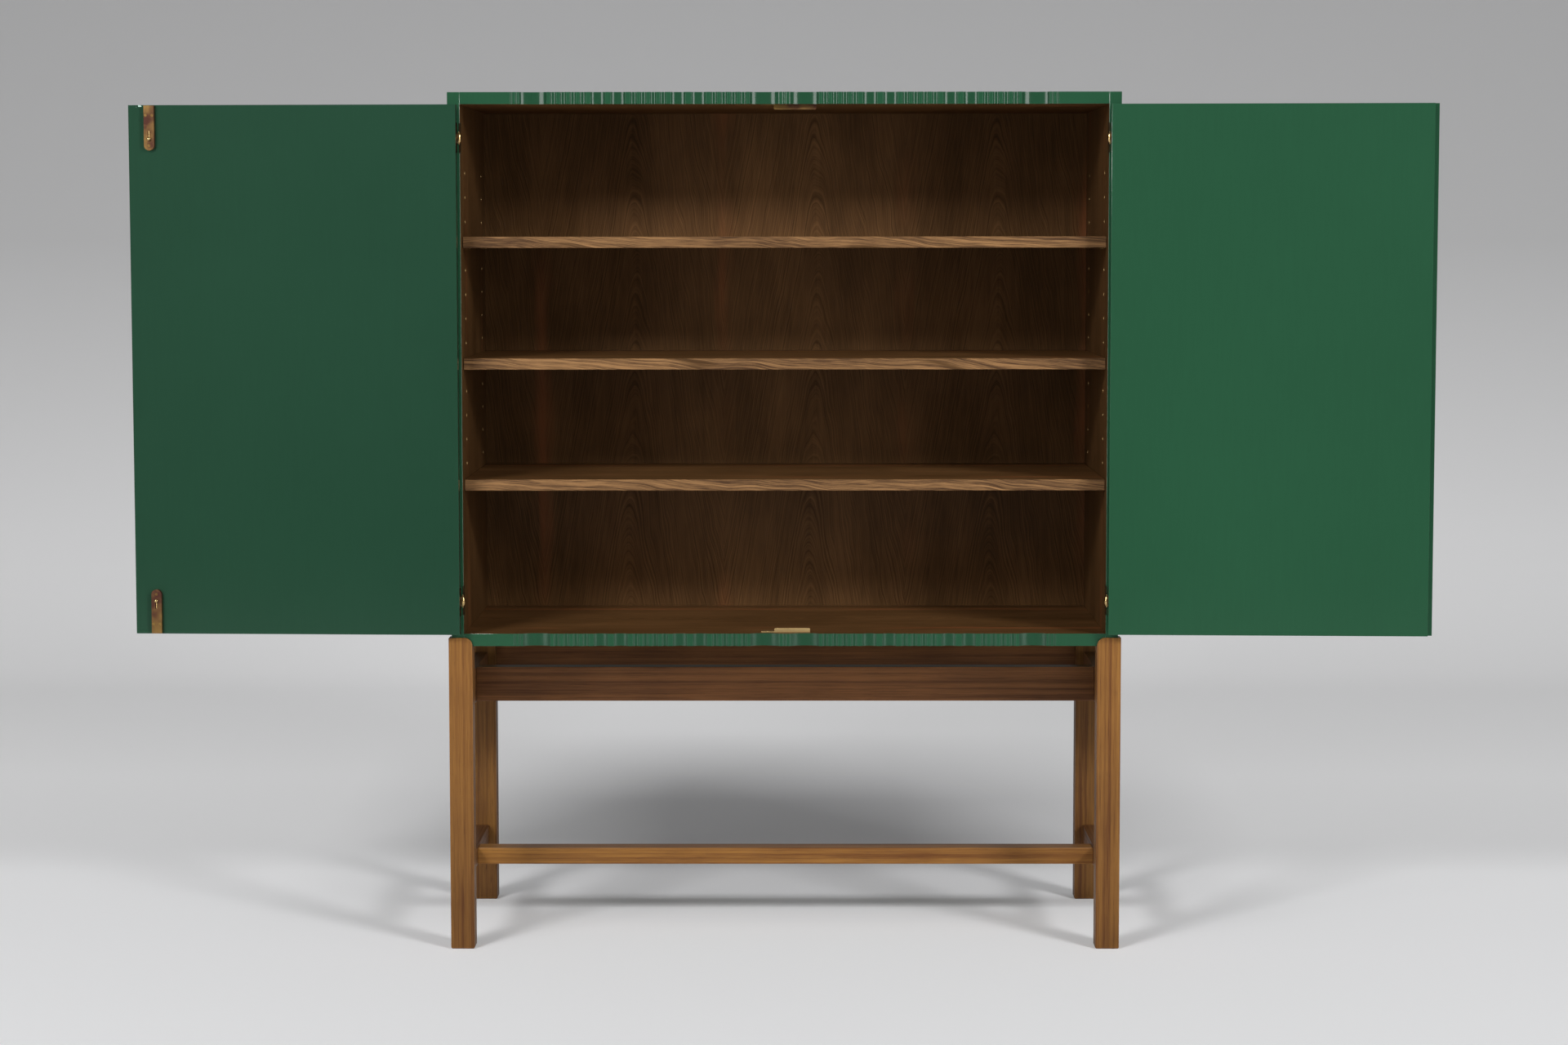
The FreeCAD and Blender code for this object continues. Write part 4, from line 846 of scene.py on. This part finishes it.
class CABINET_OT_hinges(CabinetOperator):
    """Add the olive-knuckle hinges with their leaves, pins and screws"""
    bl_idname = "cabinet.hinges"
    bl_label = "Hinges"

    def execute(self, context):
        sizes = context.scene.fitting_sizes
        coat(["hinge_pins"], finish("polished brass"))
        for side in SIDES:
            for level in LEVELS:
                for kind in ("case", "door"):
                    self.add_leaf(sizes, side, level, kind)
        return {"FINISHED"}

    def add_leaf(self, sizes, side, level, kind):
        """Adds a leaf and its screws' heads, made closed and swung with the door if on the door."""
        node = "%s_%s_%s_leaf" % (side, level, kind)
        screws = "case_hinge_screws" if kind == "case" else side + "_door_hinge_screws"
        low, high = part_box("%s_%s_case_leaf" % (side, level))
        pin = Vector(JOINTS[side + "_door_swing"]["pos_m"])
        pin.z = (low.z + high.z) / 2
        sign = -1 if side == "left" else 1
        face_x = abs(pin.x) - PIN_PAST_FACE - (DOOR_GAP if kind == "door" else 0.0)
        shape = add(self.leaf(sizes, sign, kind, face_x, pin, high.z - low.z),
                    moved(self.half_knuckle(sizes, kind), Matrix.Translation(pin)))
        heads = self.heads(sizes, sign, kind, face_x, pin, high.y)
        if kind == "door":
            moved(shape, closed_to_open(side))
            moved(heads, closed_to_open(side))
        piece("fine_" + node, shape, node, [finish("darkened brass"), finish("polished brass")])
        piece("heads_" + node, heads, screws, [finish("aged brass")])

    @staticmethod
    def leaf(sizes, sign, kind, face_x, pin, tall):
        """A closed leaf's plate and the neck that joins it to its half of the knuckle."""
        up = 1 if kind == "door" else -1
        near, far = sorted((face_x, face_x - up * LEAF_THICK))
        front, half = pin.y + LEAF_FRONT, tall / 2 - LEAF_CLEAR
        plate = slab((near, front + LEAF_CLEAR, pin.z - half),
                     (far, front + LEAF_WIDTH, pin.z + half), sizes.fitting_edge)
        foot, top = sorted((pin.z + up * NECK_FOOT, pin.z + up * NECK_TOP))
        neck = slab((near, pin.y, foot), (far, front + NECK_LAP, top), sizes.fitting_edge)
        bm = add(plate, neck)
        if sign < 0:
            moved(bm, Matrix.Scale(-1, 4, (1, 0, 0)))
            bmesh.ops.reverse_faces(bm, faces=bm.faces)
        return bm

    @staticmethod
    def half_knuckle(sizes, kind):
        """Half an olive with the ball at its end: the door's half points up, the case's down."""
        half, top, tip = sizes.knuckle_radius, sizes.knuckle_half, sizes.tip_radius
        ball = top + tip * TIP_OUT_SHARE
        outline = [(0.0, KNUCKLE_GAP), (half - KNUCKLE_ROUND, KNUCKLE_GAP), (half, KNUCKLE_FOOT)]
        outline += dome(half, top - KNUCKLE_FOOT, KNUCKLE_FOOT, KNUCKLE_ANGLES, KNUCKLE_FULLNESS)
        outline += dome(tip, tip, ball, TIP_ANGLES)
        outline += [(0.0, ball + tip)]
        olive = turned(outline, sizes.turns)
        wear(olive, KNUCKLE_WEAR)
        for face in olive.faces:
            face.material_index = 1
        if kind == "case":
            moved(olive, Matrix.Rotation(math.pi, 4, "X"))
        return olive

    @staticmethod
    def heads(sizes, sign, kind, face_x, pin, back):
        """The heads of a closed leaf's three screws."""
        bm = bmesh.new()
        toward = (-sign, 0, 0) if kind == "case" else (sign, 0, 0)
        y = back - LEAF_WIDTH + LEAF_SCREW_IN
        for step in (-1, 0, 1):
            place = (sign * face_x, y, pin.z + step * LEAF_SCREW_STEP)
            add(bm, screw(place, toward, sizes.screw_radius, sizes.screw_slot))
        return bm


# A bolt's housing: its face in front of its middle, and its screws, across it and in from its end
HOUSING_FACE = 0.004
HOUSING_SCREWS = ((0.0058, 0.017), (-0.0058, 0.017), (0.0, 0.0695))

# A bolt: its bar's radius, length and chamfer, and its knob's place, neck, rim and dome
BAR_RADIUS = 0.0025
BAR_LONG = 0.065
BAR_CHAMFER = 0.0004
BAR_STEPS = 24
KNOB_IN = 0.058
KNOB_NECK = 0.0015
KNOB_FOOT = 0.0048
KNOB_FOOT_SHARE = 0.8
KNOB_RIM = (0.005, 0.0056)
KNOB_DOME = 0.0072
KNOB_RISE = 0.0018
KNOB_ANGLES = (0, 30, 60, 80)
KNOB_STEPS = 28


class CABINET_OT_bolts(CabinetOperator):
    """Add the left door's two sliding bolts and their housings"""
    bl_idname = "cabinet.bolts"
    bl_label = "Bolts"

    def execute(self, context):
        sizes = context.scene.fitting_sizes
        outward = closed_to_open("left").to_3x3() @ Vector((0, 1, 0))
        across = outward.cross(UP)
        heads = bmesh.new()
        for name, up in (("top", UP), ("bottom", -UP)):
            housing = name + "_bolt_housing"
            eased_copy(housing, sizes.housing_edge, [finish("aged brass")],
                       shortest=FITTING_SHORTEST)
            low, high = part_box(housing)
            middle = (low + high) / 2
            middle.z = high.z if up.z > 0 else low.z
            for aside, inward in HOUSING_SCREWS:
                spot = middle + outward * HOUSING_FACE + across * aside - up * inward
                add(heads, screw(spot, outward, sizes.small_screw_radius, sizes.screw_slot))
            bolt = self.bolt(sizes, middle, up, outward)
            piece("fine_%s_bolt" % name, bolt, name + "_bolt", [finish("polished brass")])
        piece("bolt_screw_heads", heads, "bolt_screws", [finish("aged brass")])
        return {"FINISHED"}

    @staticmethod
    def bolt(sizes, end, up, outward):
        """The round bar, and the knob on its neck."""
        thin, radius = BAR_RADIUS - BAR_CHAMFER, sizes.knob_radius
        bar = turned(((0, 0), (thin, 0), (BAR_RADIUS, BAR_CHAMFER),
                      (BAR_RADIUS, BAR_LONG - BAR_CHAMFER), (thin, BAR_LONG), (0, BAR_LONG)),
                     BAR_STEPS)
        outline = [(0, 0), (KNOB_NECK, 0), (KNOB_NECK, KNOB_FOOT),
                   (radius * KNOB_FOOT_SHARE, KNOB_RIM[0]), (radius, KNOB_RIM[1])]
        outline += dome(radius, KNOB_RISE, KNOB_DOME, KNOB_ANGLES)
        outline += [(0, KNOB_DOME + KNOB_RISE)]
        knob = turned(outline, KNOB_STEPS)
        return add(moved(bar, stand_up(end, -up)),
                   moved(knob, stand_up(end - up * KNOB_IN, outward)))


class CABINET_OT_stops(CabinetOperator):
    """Add the top and bottom door stops"""
    bl_idname = "cabinet.stops"
    bl_label = "Stops"

    def execute(self, context):
        width = context.scene.fitting_sizes.fitting_edge
        for node, brass in (("top_stop", "aged brass"), ("bottom_stop", "satin brass")):
            eased_copy(node, width, [finish(brass)], shortest=FITTING_SHORTEST)
        coat(["stop_screws"], finish("aged brass"))
        return {"FINISHED"}


# The key: its ring's wire, its collar as radii and heights past the ring, its shank and its bit,
# which starts and ends before the shank's end
RING_WIRE = 0.0015
RING_STEPS = 12
COLLAR = ((0.0024, -0.001), (0.0026, 0.0), (0.0036, 0.0006), (0.0036, 0.0018), (0.0024, 0.0026),
          (0.0020, 0.0035))
SHANK_RADIUS = 0.0020
SHANK_CHAMFER = 0.0004
SHANK_STEPS = 24
BIT_REACH = 0.0060
BIT_THICK = 0.0018
BIT_START = 0.0040
BIT_END = 0.0006


class CABINET_OT_lock(CabinetOperator):
    """Add the lock, its strike plate and its key"""
    bl_idname = "cabinet.lock"
    bl_label = "Lock"

    def execute(self, context):
        sizes = context.scene.fitting_sizes
        coat(["lock_case", "lock_bolt", "lock_screws", "strike_screws"], finish("dulled steel"))
        eased_copy("strike_plate", sizes.strike_edge, [finish("aged brass")],
                   shortest=STRIKE_SHORTEST)
        joint = JOINTS["key_turn"]
        away, spot = Vector(joint["axis"]).normalized(), Vector(joint["pos_m"])
        corners = [vert.co for vert in frame["nodes"]["key"].data.vertices]
        reach = [(corner - spot).dot(away) for corner in corners]
        long = max(reach) - min(reach)
        key = add(self.shank(sizes.key_bow, long), self.ring(sizes.key_bow, sizes.turns),
                  self.bit(long, sizes.fitting_edge))
        start = spot + away * min(reach)
        moved(key, axes_at(start, UP, away.cross(UP).normalized(), away))
        piece("fine_key", key, "key", [finish("polished brass")])
        return {"FINISHED"}

    @staticmethod
    def shank(bow, long):
        """The shank with its collar, from the far side of the ring to the key's end."""
        outline = [(radius, 2 * bow + past) for radius, past in ((0, COLLAR[0][1]),) + COLLAR]
        outline += [(SHANK_RADIUS, long - SHANK_CHAMFER), (SHANK_RADIUS - SHANK_CHAMFER, long),
                    (0, long)]
        return turned(outline, SHANK_STEPS)

    @staticmethod
    def ring(bow, turns):
        """The round wire ring, upright, with its foot where the key starts."""
        bm = bmesh.new()
        bmesh.ops.create_circle(bm, segments=RING_STEPS, radius=RING_WIRE)
        upright = Matrix.Rotation(math.pi / 2, 4, "X")
        moved(bm, Matrix.Translation((bow - RING_WIRE, 0, 0)) @ upright)
        spun(bm, bm.verts[:] + bm.edges[:], turns)
        return moved(bm, Matrix.Translation((0, 0, bow)) @ upright)

    @staticmethod
    def bit(long, width):
        """The flat bit that hangs below the shank's end."""
        half = BIT_THICK / 2
        return slab((-BIT_REACH, -half, long - BIT_START), (0, half, long - BIT_END), width)


# The floor runs from its front to its back, curves up through a cove and ends as a backdrop
FLOOR_FRONT = -9.0
FLOOR_BACK = 3.2
FLOOR_HALF_WIDTH = 9.0
COVE_RADIUS = 1.6
COVE_ANGLES = range(6, 91, 6)
BACKDROP_TOP = 7.0

# Where each part of the stage starts, and over how much it builds up: the run of floor and backdrop, the dark
# floor in front, and the sides and front of the painted shadow, where the floor's glow is held back
RUN = (-1.0, 9.0)
DARK_FRONT = (2.6, 1.6)
SHADOW_SIDES = (0.25, 0.75)
SHADOW_FRONT = (-0.1, 0.35)

# The same for the backdrop's painted shade and the painted shadow's end, as shares of the run, and the painted
# shadow's depth
SHADED_BACKDROP = (0.5, 0.28)
SHADOW_END = (0.26, 0.12)
SHADOW_SHARE = 0.9

# Brightness added for the camera, at shares of the run
LIFT_STOPS = ((0.0, 0.07), (0.12, 0.17), (0.22, 0.25), (0.3, 0.3), (0.38, 0.29), (0.58, 0.27),
              (0.76, 0.22), (1.0, 0.11))

# Each lamp's place, the place it points at, its width, its height and the setting of its power
LAMPS = {
    "left_lamp": ((-2.9, -5.1, 3.55), (0.0, 0.0, 0.9), 1.3, 0.9, "left_lamp"),
    "right_lamp": ((3.9, -5.1, 3.55), (0.0, 0.0, 0.9), 1.3, 0.9, "right_lamp"),
    "left_side_lamp": ((-4.3, -4.9, 1.5), (0.0, 0.0, 1.5), 1.8, 3.0, "side_lamps"),
    "right_side_lamp": ((4.3, -4.9, 1.5), (0.0, 0.0, 1.5), 1.8, 3.0, "side_lamps"),
}


class CABINET_OT_stage(CabinetOperator):
    """Add the floor and backdrop, the lamps, the even light and the camera"""
    bl_idname = "cabinet.stage"
    bl_label = "Stage"

    def execute(self, context):
        scene, stage = context.scene, context.scene.stage_settings
        self.sweep(scene, stage)
        for name, (place, target, wide, tall, power) in LAMPS.items():
            self.lamp(scene, name, place, target, wide, tall, getattr(stage, power))
        self.sky(scene, stage)
        scene.view_settings.view_transform = "Standard"
        self.camera(scene)
        return {"FINISHED"}

    def sweep(self, scene, stage):
        """A floor that curves up into a backdrop."""
        line = [(FLOOR_FRONT, 0.0), (FLOOR_BACK, 0.0)]
        for angle in COVE_ANGLES:
            turn = math.radians(angle)
            line.append((FLOOR_BACK + COVE_RADIUS * math.sin(turn),
                         COVE_RADIUS - COVE_RADIUS * math.cos(turn)))
        line.append((FLOOR_BACK + COVE_RADIUS, BACKDROP_TOP))
        bm = bmesh.new()
        points = [bm.verts.new((-FLOOR_HALF_WIDTH, y, z)) for y, z in line]
        edges = [bm.edges.new(pair) for pair in zip(points, points[1:])]
        wide = bmesh.ops.extrude_edge_only(bm, edges=edges)["geom"]
        bmesh.ops.translate(bm, vec=(2 * FLOOR_HALF_WIDTH, 0, 0),
                            verts=[item for item in wide if isinstance(item, bmesh.types.BMVert)])
        bm.normal_update()
        if min(bm.faces, key=lambda face: face.calc_center_median().z).normal.z < 0:
            bmesh.ops.reverse_faces(bm, faces=bm.faces)
        mesh = bpy.data.meshes.new("floor_and_backdrop")
        bm.to_mesh(mesh)
        bm.free()
        mesh.shade_smooth()
        mesh.materials.append(self.pale(new_finish("pale stage"), stage))
        floor = bpy.data.objects.new("floor_and_backdrop", mesh)
        scene.collection.objects.link(floor)

    @staticmethod
    def pale(net, stage):
        """Pale paper, brighter to the camera, least so behind the stand as a painted shadow, darker up the
        backdrop as painted shade, and clear from behind.
        """
        run = (net.y + net.z).above(*RUN)
        near = net.blend((0 - net.y).above(*DARK_FRONT), stage.floor_light, stage.floor_dark)
        # Painted shade: the backdrop's paper darkens towards its top
        tint = net.blend(run.above(*SHADED_BACKDROP), near, stage.wall_shaded)
        seen = net.node("ShaderNodeLightPath", {}, {}, "Is Camera Ray")
        stops = [(at, (value, value, value)) for at, value in LIFT_STOPS]
        shown = net.node("ShaderNodeValToRGB", {"stops": stops}, {0: run})
        # Painted shadow: the camera-only glow is held back behind the stand
        middle = 1 - abs(net.x).above(*SHADOW_SIDES)
        shadow = middle * net.y.above(*SHADOW_FRONT) * (1 - run.above(*SHADOW_END))
        glow = net.shade(shown, (1 - SHADOW_SHARE * shadow) * seen * stage.lift)
        from_back = net.node("ShaderNodeNewGeometry", {}, {}, "Backfacing")
        return net.surface(tint, 0.9, specular=0.0, glow=glow, alpha=1 - from_back)

    @staticmethod
    def sky(scene, stage):
        """Even light, stronger from above and from the front."""
        scene.world = bpy.data.worlds.new("even light")
        scene.world.use_nodes = True
        net = Net(scene.world)
        front = (0 - net.y).above(0.0, 1.0)
        strength = (net.z.above(-0.2, 1.0) + 0.2 + front * 0.6) * stage.world
        glow = net.node("ShaderNodeBackground", {}, {"Color": (1, 1, 1, 1), "Strength": strength})
        net.node("ShaderNodeOutputWorld", {}, {"Surface": glow})

    @staticmethod
    def lamp(scene, name, place, target, wide, tall, power):
        light = bpy.data.lights.new(name, "AREA")
        light.shape = "RECTANGLE"
        light.size, light.size_y, light.energy = wide, tall, power
        made = bpy.data.objects.new(name, light)
        made.location = place
        made.rotation_euler = (Vector(target) - Vector(place)).to_track_quat("-Z", "Y").to_euler()
        scene.collection.objects.link(made)

    @staticmethod
    def camera(scene):
        """The photograph's viewpoint: lens, place and turn."""
        down, aside, roll = map(math.radians, (CAMERA_DOWN, CAMERA_ASIDE, CAMERA_ROLL))
        ahead = Vector((math.sin(aside) * math.cos(down), math.cos(aside) * math.cos(down),
                        -math.sin(down)))
        flat = Vector((math.cos(aside), -math.sin(aside), 0))
        above = flat.cross(ahead)
        right = flat * math.cos(roll) + above * math.sin(roll)
        up = above * math.cos(roll) - flat * math.sin(roll)
        lens = bpy.data.cameras.new("photograph")
        lens.sensor_width = SENSOR
        lens.lens = FOCAL_PIXELS / PHOTO_WIDTH * SENSOR
        made = bpy.data.objects.new("photograph", lens)
        made.matrix_world = axes_at(CAMERA_PLACE, right, up, -ahead)
        scene.collection.objects.link(made)
        scene.camera = made


# The add-on

class CABINET_PT_panel(bpy.types.Panel):
    """Lists the cabinet's operators and settings"""
    bl_label = "Cabinet"
    bl_idname = "CABINET_PT_panel"
    bl_space_type = "VIEW_3D"
    bl_region_type = "UI"
    bl_category = "Cabinet"

    def draw(self, context):
        for operator in OPERATORS:
            self.layout.operator(operator.bl_idname)
        for group_name, group in GROUPS:
            box = self.layout.box()
            for name in group.__annotations__:
                box.prop(getattr(context.scene, group_name), name)


OPERATORS = (CABINET_OT_doors, CABINET_OT_case, CABINET_OT_shelves, CABINET_OT_stand,
             CABINET_OT_hinges, CABINET_OT_bolts, CABINET_OT_stops, CABINET_OT_lock,
             CABINET_OT_stage)
GROUPS = (("cabinet_colours", CabinetColours), ("fitting_sizes", FittingSizes),
          ("stage_settings", StageSettings))


def register():
    for name, group in GROUPS:
        bpy.utils.register_class(group)
        setattr(bpy.types.Scene, name, PointerProperty(type=group))
    for item in OPERATORS + (CABINET_PT_panel,):
        bpy.utils.register_class(item)


def unregister():
    for item in reversed(OPERATORS + (CABINET_PT_panel,)):
        bpy.utils.unregister_class(item)
    for name, group in reversed(GROUPS):
        delattr(bpy.types.Scene, name)
        bpy.utils.unregister_class(group)


def main():
    register()
    for operator in OPERATORS:
        group, name = operator.bl_idname.split(".")
        getattr(getattr(bpy.ops, group), name)()
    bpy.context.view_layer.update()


if __name__ == "__main__":
    main()
